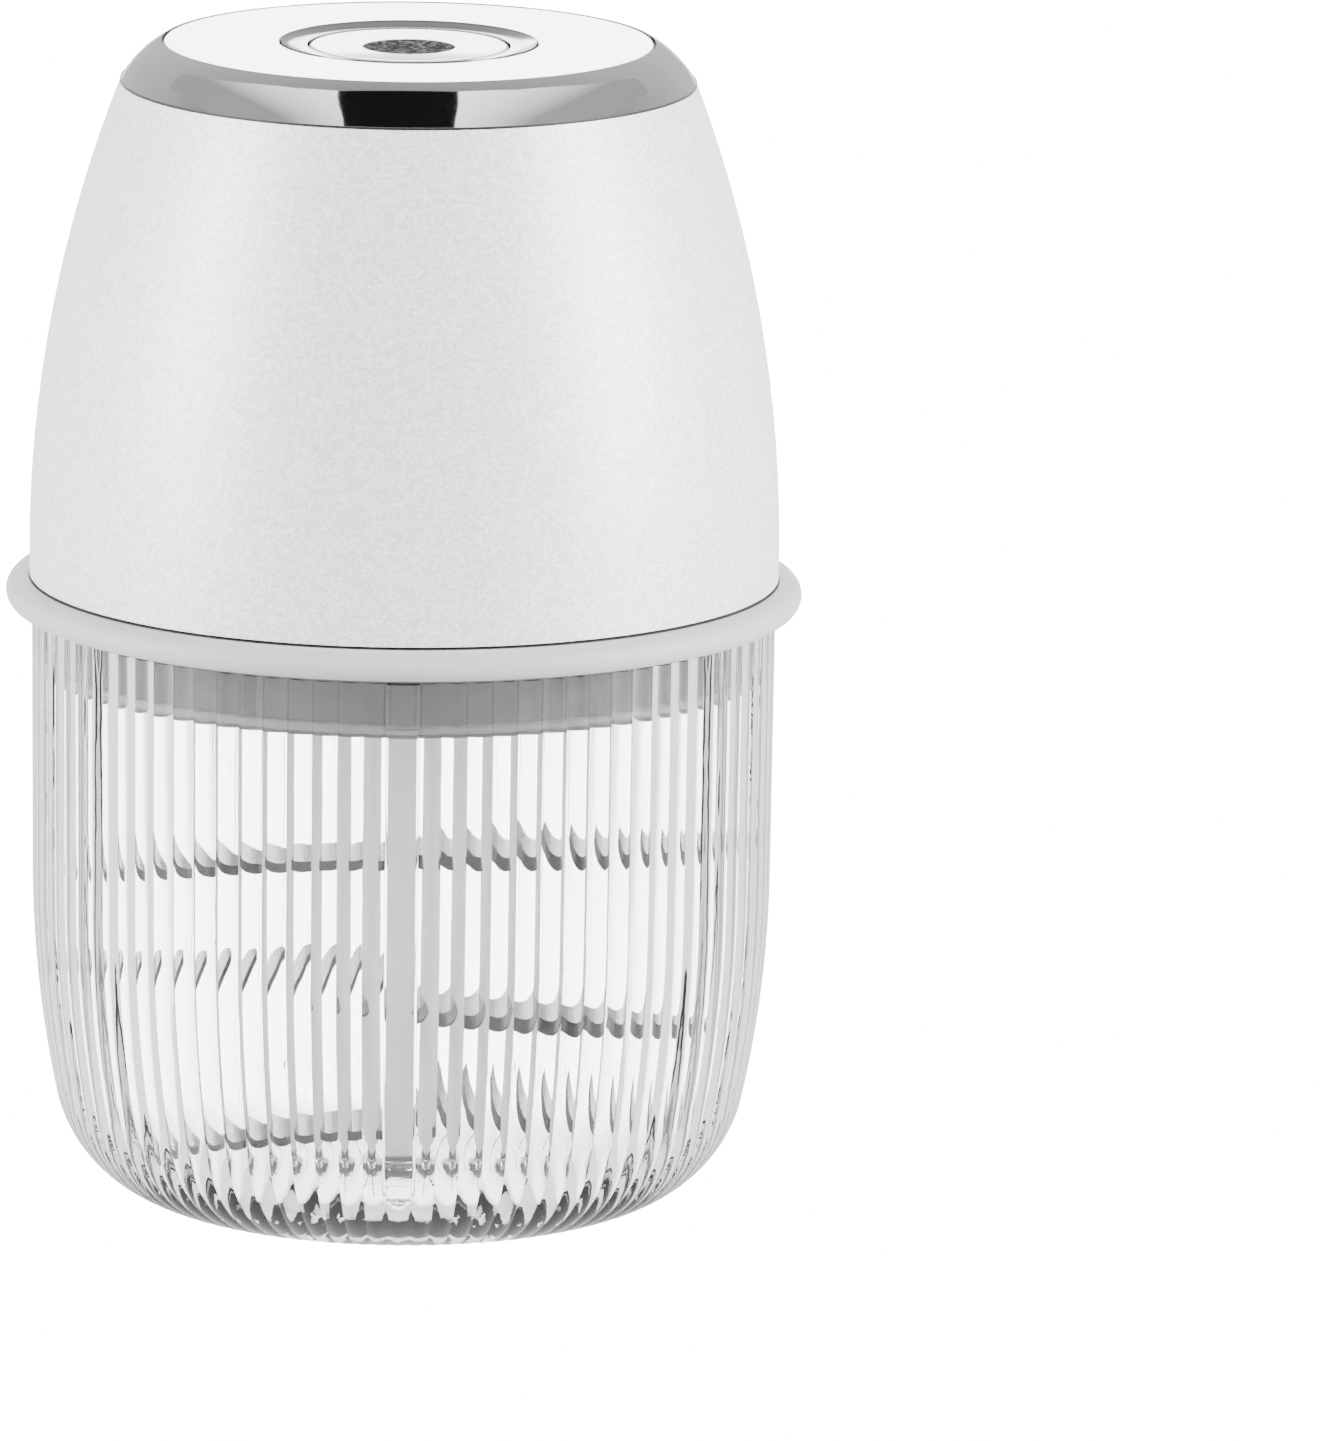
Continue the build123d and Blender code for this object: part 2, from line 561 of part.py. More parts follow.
def collar_ring():
    inner = FLANGE_RADIUS + STATIC_FIT
    under = BAND_RADIUS + LIFT_FIT
    groove_z = BOWL_HEIGHT + FLANGE_THICK / 2
    low, high = COLLAR_BOTTOM_Z, SEAM_Z
    middle = (low + high) / 2
    crown = COLLAR_RADIUS - COLLAR_ROUND
    sides = [
        Line((under, 0, low), (crown, 0, low)),
        ThreePointArc((crown, 0, low), (COLLAR_RADIUS, 0, middle), (crown, 0, high)),
        Polyline(
            (crown, 0, high),
            (inner, 0, high),
            (inner, 0, groove_z + 0.5),
            (inner - COLLAR_RIB, 0, groove_z + 0.5),
            (inner - COLLAR_RIB, 0, groove_z - 0.5),
            (inner, 0, groove_z - 0.5),
            (inner, 0, BOWL_HEIGHT - STATIC_FIT),
            (under, 0, BOWL_HEIGHT - STATIC_FIT),
            (under, 0, low),
        ),
    ]
    return revolve(make_face(Wire([edge for side in sides for edge in side.edges()])), Axis.Z)


# ------------------------------------------------------------------ blade pieces
def wing(tip, low):
    """One sickle-shaped wing along +X, sharpened along its leading edge."""
    heel = HEAD_RADIUS - 3.0
    lead = ThreePointArc((heel, -BLADE_ROOT), (tip * 0.62, -BLADE_ROOT - 0.9), on_circle(tip, 4))
    end = RadiusArc(on_circle(tip, 4), on_circle(tip, 13), tip)
    back = ThreePointArc(on_circle(tip, 13), (tip * 0.62, BLADE_ROOT - 0.6), (heel, BLADE_ROOT))
    root = Line((heel, BLADE_ROOT), (heel, -BLADE_ROOT))
    outline = make_face(Wire([*lead.edges(), *end.edges(), *back.edges(), *root.edges()]))
    body = Pos(0, 0, low) * extrude(outline, BLADE_THICK)
    top_edges = body.edges().group_by(Axis.Z)[-1]
    edge = top_edges.filter_by(GeomType.CIRCLE).sort_by(Axis.Y)[0]
    return chamfer(edge, BEVEL_DEPTH, BEVEL_WIDTH)


def blade(tip, low, turn):
    """A two-winged steel blade with a round hub that the spindle is moulded about."""
    one = wing(tip, low)
    hub = ring(BLADE_ROOT + 0.8, PIN_RADIUS + 0.8, low, low + BLADE_THICK)
    both = fuse([one, Rot(0, 0, 180) * one, hub])
    both -= ring(PIN_RADIUS + 0.8, 0, low - 1, low + BLADE_THICK + 1)
    return Rot(0, 0, turn) * both


def upper_blade():
    return blade(BLADE_TIP_RADIUS, UPPER_BLADE_Z, UPPER_BLADE_TURN)


def middle_blade():
    return blade(BLADE_TIP_RADIUS, MIDDLE_BLADE_Z, MIDDLE_BLADE_TURN)


def lower_blade():
    return blade(LOWER_TIP_RADIUS, LOWER_BLADE_Z, LOWER_BLADE_TURN)


def blade_spindle():
    head_z = SPINDLE_TOP_Z - HEAD_LENGTH
    foot_round = 1.5
    body = turned(
        [
            (0, SPINDLE_FOOT_Z),
            (SPINDLE_RADIUS - foot_round, SPINDLE_FOOT_Z),
            (SPINDLE_RADIUS, SPINDLE_FOOT_Z + foot_round),
            (NECK_RADIUS, head_z - 1.0),
            (HEAD_RADIUS, head_z),
            (HEAD_RADIUS, SPINDLE_TOP_Z - 0.6),
            (HEAD_RADIUS - 0.6, SPINDLE_TOP_Z),
            (0, SPINDLE_TOP_Z),
        ]
    )
    bore = ring(PIN_RADIUS + RUNNING_FIT, 0, SPINDLE_FOOT_Z - 1, PIN_TOP_Z + 0.2)
    socket = Pos(0, 0, SPINDLE_TOP_Z - SOCKET_DEPTH) * extrude(
        RegularPolygon(SOCKET_FLATS / 2, 6, major_radius=False), SOCKET_DEPTH + 1
    )
    return cut(body, [bore, socket, upper_blade(), middle_blade(), lower_blade()])


# ------------------------------------------------------------------ gears
def involute(angle):
    return math.tan(angle) - angle


def gear_face(teeth, outer, inner, slack):
    """An involute gear's outline with one tooth on +X; slack is taken off each tooth's thickness."""
    pitch = MODULE * teeth / 2
    pressure = math.radians(PRESSURE_ANGLE)
    base = pitch * math.cos(pressure)
    half = math.pi / (2 * teeth) - slack / (2 * pitch)

    def flank(radius):
        lean = math.acos(min(1.0, base / radius))
        return half + involute(pressure) - involute(lean)

    def spot(radius, angle):
        return radius * math.cos(angle), radius * math.sin(angle)

    start = max(base, inner)
    middle = (start + outer) / 2
    undercut = 0.7 if inner < base else 1.0
    edges = []
    for i in range(teeth):
        centre = 2 * math.pi * i / teeth
        following = centre + 2 * math.pi / teeth
        low, mid, high = flank(start), flank(middle), flank(outer)
        edges += ThreePointArc(
            spot(start, centre - low), spot(middle, centre - mid), spot(outer, centre - high)
        ).edges()
        edges += ThreePointArc(
            spot(outer, centre - high), spot(outer, centre), spot(outer, centre + high)
        ).edges()
        edges += ThreePointArc(
            spot(outer, centre + high), spot(middle, centre + mid), spot(start, centre + low)
        ).edges()
        root_from, root_to = centre + low * undercut, following - low * undercut
        if inner < base:
            edges += Line(spot(start, centre + low), spot(inner, root_from)).edges()
        edges += ThreePointArc(
            spot(inner, root_from), spot(inner, (root_from + root_to) / 2), spot(inner, root_to)
        ).edges()
        if inner < base:
            edges += Line(spot(inner, root_to), spot(start, following - low)).edges()
    return make_face(Wire(edges))


def outer_gear(teeth, bore):
    """A spur gear in the planets' plane, with one tooth on +X."""
    pitch = MODULE * teeth / 2
    face = gear_face(teeth, pitch + ADDENDUM * MODULE, pitch - DEDENDUM * MODULE, TOOTH_SLACK)
    return Pos(0, 0, PLANET_Z) * extrude(face - Circle(bore), GEAR_WIDTH)


def sun_gear():
    return outer_gear(SUN_TEETH, MOTOR_SHAFT_RADIUS + STATIC_FIT)


def planet_gear(index):
    """One planet gear; a gap between two of its teeth faces the sun's tooth."""
    gear = Rot(0, 0, 180 / PLANET_TEETH) * outer_gear(PLANET_TEETH, PLANET_PIN_RADIUS + RUNNING_FIT)
    return Rot(0, 0, 360 / PLANET_COUNT * index) * Pos(CENTRE_DISTANCE, 0, 0) * gear


def gearbox_case():
    """The fixed ring gear, moulded in one with the gearbox's floor, roof and feet."""
    body = ring(CASE_RADIUS, 0, CASE_Z, MOTOR_Z)
    feet = round_about(
        GEAR_FOOT_ANGLES, GEAR_FOOT_RING, lambda: ring(GEAR_FOOT_RADIUS, 0, CASE_Z, CASE_Z + 2)
    )
    webs = [
        Rot(0, 0, a) * block(CASE_RADIUS - 1, GEAR_FOOT_RING, -2, 2, CASE_Z, CASE_Z + 2)
        for a in GEAR_FOOT_ANGLES
    ]
    body = fuse([body, *feet, *webs])
    inner = RING_PITCH_RADIUS - ADDENDUM * MODULE
    teeth = gear_face(RING_TEETH, RING_ROOT_RADIUS, inner, -TOOTH_SLACK)
    cavity = Rot(0, 0, 180 / RING_TEETH) * Pos(0, 0, CASE_Z + CASE_FLOOR) * extrude(
        teeth, ROOF_Z - CASE_Z - CASE_FLOOR
    )
    floor_hole = ring(SHAFT_RADIUS + RUNNING_FIT + BEARING_WALL + 2.4, 0, CASE_Z - 1, CASE_Z + CASE_FLOOR + 1)
    roof_hole = ring(MOTOR_NOSE_RADIUS + STATIC_FIT, 0, ROOF_Z - 1, MOTOR_Z + 1)
    foot_holes = round_about(
        GEAR_FOOT_ANGLES, GEAR_FOOT_RING, lambda: ring(SMALL_SCREW + STATIC_FIT, 0, CASE_Z - 1, CASE_Z + 3)
    )
    motor_holes = round_about(
        (90, 270), MOTOR_SCREW_RING,
        lambda: ring(SMALL_SCREW + STATIC_FIT, 0, ROOF_Z - 1, MOTOR_Z + 1)
        + ring(SMALL_HEAD + STATIC_FIT, 0, ROOF_Z - 1, ROOF_Z + SMALL_HEAD_HEIGHT + STATIC_FIT),
    )
    return cut(body, [cavity, floor_hole, roof_hole, *foot_holes, *motor_holes])


def planet_carrier():
    body = ring(CENTRE_DISTANCE + CARRIER_RIM, 0, CARRIER_Z, CARRIER_Z + CARRIER_THICK)
    angles = [360 / PLANET_COUNT * i for i in range(PLANET_COUNT)]
    pads = round_about(
        angles, CENTRE_DISTANCE,
        lambda: ring(PLANET_PIN_RADIUS + 1.0, 0, CARRIER_Z + 1, PLANET_Z - 0.1),
    )
    holes = round_about(
        angles, CENTRE_DISTANCE, lambda: ring(PLANET_PIN_RADIUS + STATIC_FIT, 0, CARRIER_Z - 1, PLANET_Z)
    )
    middle = ring(SHAFT_RADIUS / 2 + STATIC_FIT, 0, CARRIER_Z - 1, CARRIER_Z + CARRIER_THICK + 1)
    return cut(fuse([body, *pads]), [*holes, middle])


def carrier_pins():
    angles = [360 / PLANET_COUNT * i for i in range(PLANET_COUNT)]
    top = PLANET_Z + GEAR_WIDTH + GEAR_SIDE_GAP / 2
    return round_about(angles, CENTRE_DISTANCE, lambda: ring(PLANET_PIN_RADIUS, 0, CARRIER_Z, top))


def output_shaft():
    """Steel shaft: a journal in the base bearing, a thin end in the carrier and a square-cut end below."""
    thin = SHAFT_RADIUS / 2
    return turned(
        [
            (0, COUPLING_Z),
            (thin, COUPLING_Z),
            (thin, PLUG_Z),
            (SHAFT_RADIUS, PLUG_Z),
            (SHAFT_RADIUS, CARRIER_Z - STATIC_FIT),
            (thin, CARRIER_Z - STATIC_FIT),
            (thin, CARRIER_Z + CARRIER_THICK),
            (0, CARRIER_Z + CARRIER_THICK),
        ]
    )


def drive_coupling():
    """Six-sided dog on the shaft's lower end that drops into the spindle's socket."""
    high = PLUG_Z - STATIC_FIT
    prism = Pos(0, 0, COUPLING_Z) * extrude(
        RegularPolygon(COUPLING_FLATS / 2, 6, major_radius=False), high - COUPLING_Z
    )
    across_corners = COUPLING_FLATS / math.sqrt(3)
    lead_in = turned(
        [
            (0, COUPLING_Z),
            (across_corners - 0.6, COUPLING_Z),
            (across_corners + 0.4, COUPLING_Z + 1.0),
            (across_corners + 0.4, high),
            (0, high),
        ]
    )
    bore = ring(SHAFT_RADIUS / 2 + STATIC_FIT, 0, COUPLING_Z - 1, high + 1)
    return (prism & lead_in) - bore


# ------------------------------------------------------------------ motor
def motor_can():
    body = ring(MOTOR_RADIUS, 0, MOTOR_Z, MOTOR_TOP_Z)
    inside = ring(MOTOR_RADIUS - MOTOR_CAN_WALL, 0, MOTOR_Z + MOTOR_CAN_WALL, MOTOR_TOP_Z + 1)
    nose = ring(MOTOR_NOSE_RADIUS, 0, MOTOR_Z - MOTOR_NOSE, MOTOR_Z + 1)
    shaft_hole = ring(MOTOR_SHAFT_RADIUS + RUNNING_FIT, 0, MOTOR_Z - 2, MOTOR_Z + 2)
    screw_holes = round_about(
        (90, 270), MOTOR_SCREW_RING, lambda: ring(SMALL_SCREW + STATIC_FIT, 0, MOTOR_Z - 1, MOTOR_Z + 2)
    )
    vents = round_about((0, 60, 120, 180, 240, 300), MOTOR_RADIUS, vent_tool)
    return cut((body - inside) + nose, [shaft_hole, *screw_holes, *vents])


def vent_tool():
    """A window through the motor can's wall near its brush end."""
    return block(-2, 2, -1.6, 1.6, MOTOR_TOP_Z - 8, MOTOR_TOP_Z - 3)


def motor_magnets():
    """Two arc magnets glued inside the can."""
    outer = MOTOR_RADIUS - MOTOR_CAN_WALL - STATIC_FIT
    low = MOTOR_Z + 4
    whole = ring(outer, outer - MAGNET_THICK, low, low + STACK_LENGTH + 2)
    reach = MOTOR_RADIUS + 1
    gaps = block(-reach, reach, -3, 3, low - 1, low + STACK_LENGTH + 3)
    return [solid for solid in (whole - gaps).solids()]


def armature():
    """The wound rotor core: three T-shaped poles on the shaft."""
    radius = MOTOR_RADIUS - MOTOR_CAN_WALL - MAGNET_THICK - AIR_GAP
    low = MOTOR_Z + 5
    face = Circle(radius)
    for angle in (60, 180, 300):
        slot = Pos(radius * 0.62, 0) * Circle(radius * 0.26)
        mouth = Pos(radius * 0.85, 0) * Rectangle(radius * 0.5, 1.2)
        face -= Rot(0, 0, angle) * (slot + mouth)
    face -= Circle(MOTOR_SHAFT_RADIUS + STATIC_FIT)
    return Pos(0, 0, low) * extrude(face, STACK_LENGTH)


def motor_windings():
    """Copper coils as plugs that fill the slots between the poles."""
    radius = MOTOR_RADIUS - MOTOR_CAN_WALL - MAGNET_THICK - AIR_GAP
    low = MOTOR_Z + 3.6
    coil = radius * 0.26 - 0.1
    return round_about(
        (60, 180, 300), radius * 0.62, lambda: ring(coil, 0, low, low + STACK_LENGTH + 2.8)
    )


def commutator():
    low = MOTOR_TOP_Z - 7
    body = ring(COMMUTATOR_RADIUS, MOTOR_SHAFT_RADIUS + STATIC_FIT, low, low + 5)
    slots = [
        Rot(0, 0, a) * block(COMMUTATOR_RADIUS - 0.6, COMMUTATOR_RADIUS + 1, -0.2, 0.2, low + 0.8, low + 6)
        for a in (0, 120, 240)
    ]
    return cut(body, slots)


def motor_shaft():
    return ring(MOTOR_SHAFT_RADIUS, 0, PLANET_Z + 0.2, MOTOR_TOP_Z + MOTOR_CAP - 0.6)


def motor_end_cap():
    """Plastic brush cap that closes the can, with a blind bearing for the shaft."""
    body = ring(MOTOR_RADIUS - MOTOR_CAN_WALL - STATIC_FIT, 0, MOTOR_TOP_Z - 1.2, MOTOR_TOP_Z)
    lid_plate = ring(MOTOR_RADIUS, 0, MOTOR_TOP_Z + STATIC_FIT, MOTOR_TOP_Z + 1.2)
    hub = ring(4.0, 0, MOTOR_TOP_Z - 1.2, MOTOR_TOP_Z + MOTOR_CAP)
    bore = ring(MOTOR_SHAFT_RADIUS + RUNNING_FIT, 0, MOTOR_TOP_Z - 2, MOTOR_TOP_Z + MOTOR_CAP - 0.4)
    slots = round_about((0, 180), 8.6, lambda: block(-0.5, 0.5, -1.6, 1.6, MOTOR_TOP_Z - 2, MOTOR_TOP_Z + 4))
    return cut(fuse([body, lid_plate, hub]), [bore, *slots])


def motor_terminals():
    """Two flat tabs that stand up through the brush cap."""
    side = STATIC_FIT
    return round_about(
        (0, 180), 8.6,
        lambda: block(-0.5 + side, 0.5 - side, -1.6 + side, 1.6 - side, MOTOR_TOP_Z - 1.2, MOTOR_TOP_Z + 3.4),
    )


# ------------------------------------------------------------------ base cover and its fittings
def base_cover():
    """Bottom of the motor unit: a plug that drops into the lid's dish, under a clamping flange."""
    wall_inner = PLUG_RADIUS - PLUG_WALL
    body = turned(
        [
            (0, PLUG_Z),
            (PLUG_RADIUS, PLUG_Z),
            (PLUG_RADIUS, SEAM_Z),
            (COVER_RADIUS, SEAM_Z),
            (COVER_RADIUS, COVER_TOP_Z),
            (wall_inner, COVER_TOP_Z),
            (wall_inner, PLUG_FLOOR_Z),
            (0, PLUG_FLOOR_Z),
        ]
    )
    bearing_outer = SHAFT_RADIUS + RUNNING_FIT + BEARING_WALL + 2.0
    boss = ring(bearing_outer, 0, PLUG_Z + 1, PLUG_FLOOR_Z + BEARING_LENGTH - 1)
    gear_posts = round_about(
        GEAR_FOOT_ANGLES, GEAR_FOOT_RING, lambda: ring(GEAR_FOOT_RADIUS, 0, PLUG_Z + 1, CASE_Z - STATIC_FIT)
    )
    post_bosses = round_about(
        FRAME_POST_ANGLES, FRAME_POST_RING,
        lambda: ring(FRAME_POST_RADIUS + 0.4, 0, PLUG_Z + 1, POST_Z - STATIC_FIT),
    )
    body = fuse([body, boss, *gear_posts, *post_bosses])
    notch = block(
        DISH_RADIUS - KEY_PROUD - LIFT_FIT, PLUG_RADIUS + 1, -KEY_WIDTH / 2 - 0.4, KEY_WIDTH / 2 + 0.4,
        PLUG_Z - 1, SEAM_Z,
    )
    tools = [Rot(0, 0, a) * notch for a in KEY_ANGLES]
    tools.append(ring(SHAFT_RADIUS + RUNNING_FIT + BEARING_WALL + STATIC_FIT, 0, SEAL_TOP_Z, CASE_Z + 5))
    tools.append(ring(SHAFT_RADIUS + SHAFT_SEAL_WALL + STATIC_FIT, 0, PLUG_Z - 1, SEAL_TOP_Z))
    tools += round_about(
        GEAR_FOOT_ANGLES, GEAR_FOOT_RING,
        lambda: ring(SMALL_SCREW + STATIC_FIT, 0, PLUG_FLOOR_Z - 0.6, CASE_Z),
    )
    tools += round_about(
        FRAME_POST_ANGLES, FRAME_POST_RING,
        lambda: ring(BIG_SCREW + STATIC_FIT, 0, PLUG_Z - 1, POST_Z + 1)
        + ring(BIG_HEAD + STATIC_FIT, 0, PLUG_Z - 1, HEAD_SEAT_Z),
    )
    pin_hole = ring(INTERLOCK_RADIUS + RUNNING_FIT, 0, PLUG_Z, COVER_TOP_Z + 1)
    tools += round_about((INTERLOCK_ANGLE,), INTERLOCK_RING, lambda: pin_hole)
    return cut(body, tools)


def shaft_seal():
    low = PLUG_Z + 0.1
    return ring(SHAFT_RADIUS + SHAFT_SEAL_WALL, SHAFT_RADIUS + RUNNING_FIT, low, SEAL_TOP_Z - STATIC_FIT)


def base_bearing():
    low = SEAL_TOP_Z + STATIC_FIT
    bore = SHAFT_RADIUS + RUNNING_FIT
    return ring(bore + BEARING_WALL, bore, low, PLUG_FLOOR_Z + BEARING_LENGTH - 1)


def screw(radius, head, head_height, low, high, head_below):
    """A pan-head screw along Z with a cross slot, its head at the low or the high end."""
    shank = ring(radius, 0, low, high)
    head_low, head_high = (low - head_height, low) if head_below else (high, high + head_height)
    top = ring(head, 0, head_low, head_high)
    outer_z = head_low if head_below else head_high
    slot = block(-head * 0.6, head * 0.6, -0.25, 0.25, outer_z - 0.5, outer_z + 0.5)
    return cut(shank + top, [slot, Rot(0, 0, 90) * slot])


def base_screws():
    low = HEAD_SEAT_Z - STATIC_FIT
    return round_about(
        FRAME_POST_ANGLES, FRAME_POST_RING,
        lambda: screw(BIG_SCREW, BIG_HEAD, BIG_HEAD_HEIGHT, low, low + 9, True),
    )


def gearbox_screws():
    high = CASE_Z + 2 + STATIC_FIT
    return round_about(
        GEAR_FOOT_ANGLES, GEAR_FOOT_RING,
        lambda: screw(SMALL_SCREW, SMALL_HEAD, SMALL_HEAD_HEIGHT, high - 5, high, False),
    )


def motor_screws():
    low = ROOF_Z + SMALL_HEAD_HEIGHT
    return round_about(
        (90, 270), MOTOR_SCREW_RING,
        lambda: screw(SMALL_SCREW, SMALL_HEAD, SMALL_HEAD_HEIGHT, low, low + 2.2, True),
    )


def board_screws():
    high = BOARD_Z + BOARD_THICK + STATIC_FIT
    return round_about(
        FRAME_POST_ANGLES, FRAME_POST_RING,
        lambda: screw(SMALL_SCREW, SMALL_HEAD, SMALL_HEAD_HEIGHT, high - 6, high, False),
    )


# ------------------------------------------------------------------ inner frame, batteries, boards
def inner_frame():
    """Moulded chassis: a clamped ring, three posts, and a cradle that holds the motor and two cells."""
    frame_ring_outer = COVER_RADIUS - 0.2
    pieces = [ring(frame_ring_outer, FRAME_RING_INNER, FRAME_Z, FRAME_RING_TOP_Z)]
    pieces += round_about(
        FRAME_POST_ANGLES, FRAME_POST_RING, lambda: ring(FRAME_POST_RADIUS, 0, POST_Z, BOARD_Z - STATIC_FIT)
    )
    low = MOTOR_Z + CRADLE_RISE
    high = low + CRADLE_HEIGHT
    collar_outer = MOTOR_RADIUS + CRADLE_GAP + CRADLE_WALL
    pieces.append(ring(collar_outer, 0, low, high))
    pieces += round_about(
        (0, 180), CELL_RING, lambda: ring(CELL_RADIUS + CRADLE_GAP + CRADLE_WALL, 0, low, high)
    )
    web = block(collar_outer - 1, FRAME_POST_RING - 2, -1, 1, low, high)
    pieces += [Rot(0, 0, a) * web for a in FRAME_POST_ANGLES]
    pieces += [Rot(0, 0, a) * block(collar_outer - 1, CELL_RING - 2, -1, 1, low, high) for a in (0, 180)]
    shelf = CHARGE_BOARD_WIDTH / 2 - 1
    shelf_z = CHARGE_BOARD_Z - STATIC_FIT
    shelf_near, shelf_far = FRAME_RING_INNER + 0.6, CHARGE_BOARD_FAR - 0.6
    pieces.append(block(-shelf, shelf, shelf_near, shelf_far, FRAME_Z + 0.5, shelf_z))
    tools = [ring(MOTOR_RADIUS + CRADLE_GAP, 0, low - 1, high + 1)]
    tools += round_about((0, 180), CELL_RING, lambda: ring(CELL_RADIUS + CRADLE_GAP, 0, low - 1, high + 1))
    tools += round_about(
        FRAME_POST_ANGLES, FRAME_POST_RING,
        lambda: ring(BIG_SCREW + STATIC_FIT, 0, POST_Z - 1, POST_Z + 9)
        + ring(SMALL_SCREW + STATIC_FIT, 0, BOARD_Z - 6, BOARD_Z + 1),
    )
    tools += round_about(
        (INTERLOCK_ANGLE,), INTERLOCK_RING,
        lambda: ring(INTERLOCK_RADIUS + RUNNING_FIT, 0, FRAME_Z - 1, FRAME_RING_TOP_Z + 1),
    )
    return cut(fuse(pieces), tools)


def battery_cells():
    """Two lithium cells, each with a small raised contact."""
    return round_about(
        (0, 180), CELL_RING,
        lambda: ring(CELL_RADIUS, 0, CELL_Z, CELL_Z + CELL_LENGTH - 0.8)
        + ring(2.6, 0, CELL_Z + CELL_LENGTH - 1, CELL_Z + CELL_LENGTH),
    )


def battery_tabs():
    """Nickel strips welded to the cells' contacts."""
    low = CELL_Z + CELL_LENGTH + STATIC_FIT
    return round_about((0, 180), CELL_RING, lambda: block(-2.5, 2.5, -6, 6, low, low + 0.3))


def control_board():
    board = ring(BOARD_RADIUS, 0, BOARD_Z, BOARD_Z + BOARD_THICK)
    holes = round_about(
        FRAME_POST_ANGLES, FRAME_POST_RING,
        lambda: ring(SMALL_SCREW + STATIC_FIT, 0, BOARD_Z - 1, BOARD_Z + BOARD_THICK + 1),
    )
    return cut(board, holes)


def board_parts():
    """Power transistors, controller chip, capacitor and charge lamp on the control board."""
    low = BOARD_Z + BOARD_THICK + STATIC_FIT
    chip = block(12, 18, -3, 3, low, low + 1.6)
    transistors = [block(x, x + 6.4, 9, 15.6, low, low + 2.3) for x in (-14, -4)]
    capacitor = Pos(-17, -6, 0) * ring(3.1, 0, low, low + 3.2)
    lamp = block(8, 9.6, -14, -13.2, low, low + 0.7)
    return [chip, *transistors, capacitor, lamp]


def start_switch():
    """Tact switch under the button, with its short round tip."""
    low = BOARD_Z + BOARD_THICK + STATIC_FIT
    half = SWITCH_SIDE / 2
    return block(-half, half, -half, half, low, SWITCH_TOP_Z) + ring(
        1.7, 0, SWITCH_TOP_Z - 0.5, SWITCH_TOP_Z + SWITCH_TIP
    )


def charging_board():
    """Small board on the frame's shelf, under the charging socket."""
    half, far = CHARGE_BOARD_WIDTH / 2, CHARGE_BOARD_FAR
    return block(-half, half, far - CHARGE_BOARD_LENGTH, far, CHARGE_BOARD_Z, CHARGE_BOARD_Z + BOARD_THICK)


def stadium(width, height, y_low, y_high):
    """A rounded slot shape that runs along Y, about the charging socket's middle."""
    face = Plane.XZ.offset(-y_high) * SlotOverall(width, height)
    return Pos(0, 0, USB_Z) * extrude(face, y_high - y_low)


def charging_socket():
    """Stamped steel shell of the charging socket."""
    outer = stadium(SOCKET_WIDTH, SOCKET_HEIGHT, SOCKET_Y, SOCKET_Y + SOCKET_LENGTH)
    trim = 2 * SOCKET_SHEET
    inner = stadium(
        SOCKET_WIDTH - trim, SOCKET_HEIGHT - trim, SOCKET_Y + 1.0, SOCKET_Y + SOCKET_LENGTH + 1
    )
    lift = Pos(0, 0, STATIC_FIT)
    return lift * (outer - inner)


def socket_tongue():
    """Contact tongue inside the charging socket."""
    near, far = SOCKET_Y + 1.0 + STATIC_FIT, SOCKET_Y + SOCKET_LENGTH - 0.8
    return block(-3.3, 3.3, near, far, USB_Z - 0.35, USB_Z + 0.35)


def interlock_pin():
    """Push pin that the lid holds up when the motor unit is seated."""
    shank = ring(INTERLOCK_RADIUS, 0, SEAM_Z, INTERLOCK_HEAD_Z)
    head = ring(INTERLOCK_RADIUS + 0.8, 0, INTERLOCK_HEAD_Z, INTERLOCK_HEAD_Z + 0.8)
    return round_about((INTERLOCK_ANGLE,), INTERLOCK_RING, lambda: shank + head)[0]


def interlock_switch():
    """Small lever switch that cuts the motor unless the push pin is up."""
    low, lever = FRAME_RING_TOP_Z + STATIC_FIT, INTERLOCK_HEAD_Z + 0.8 + 0.1
    body = block(INTERLOCK_RING - 5.4, INTERLOCK_RING - 2.2, -4, 4, low, low + 6)
    arm = block(INTERLOCK_RING - 3, INTERLOCK_RING + 1.2, -1.5, 1.5, lever, lever + 0.6)
    return Rot(0, 0, INTERLOCK_ANGLE) * (body + arm)


def lead(x, y, side):
    """One insulated wire, up from a motor terminal and over to the board's underside."""
    low, high = MOTOR_TOP_Z + 3.5, BOARD_Z - STATIC_FIT
    half = (high - low) / 2
    across = x + side * 4
    corners = [(x, y, low), (x, y, low + half), (across, y, low + half), (across, y, high)]
    route = FilletPolyline(*corners, radius=0.5 * half)
    return sweep(Plane(origin=(x, y, low), z_dir=(0, 0, 1)) * Circle(LEAD_RADIUS), path=route)


# ------------------------------------------------------------------ housing
def housing_arc(wall):
    """The side of the housing as an arc, moved inwards by wall, from its base to its top."""
    levels = (HOUSING_Z, (HOUSING_Z + HOUSING_TOP_Z) / 2, HOUSING_TOP_Z)
    return ThreePointArc(*[(housing_reach(z, wall), 0, z) for z in levels])


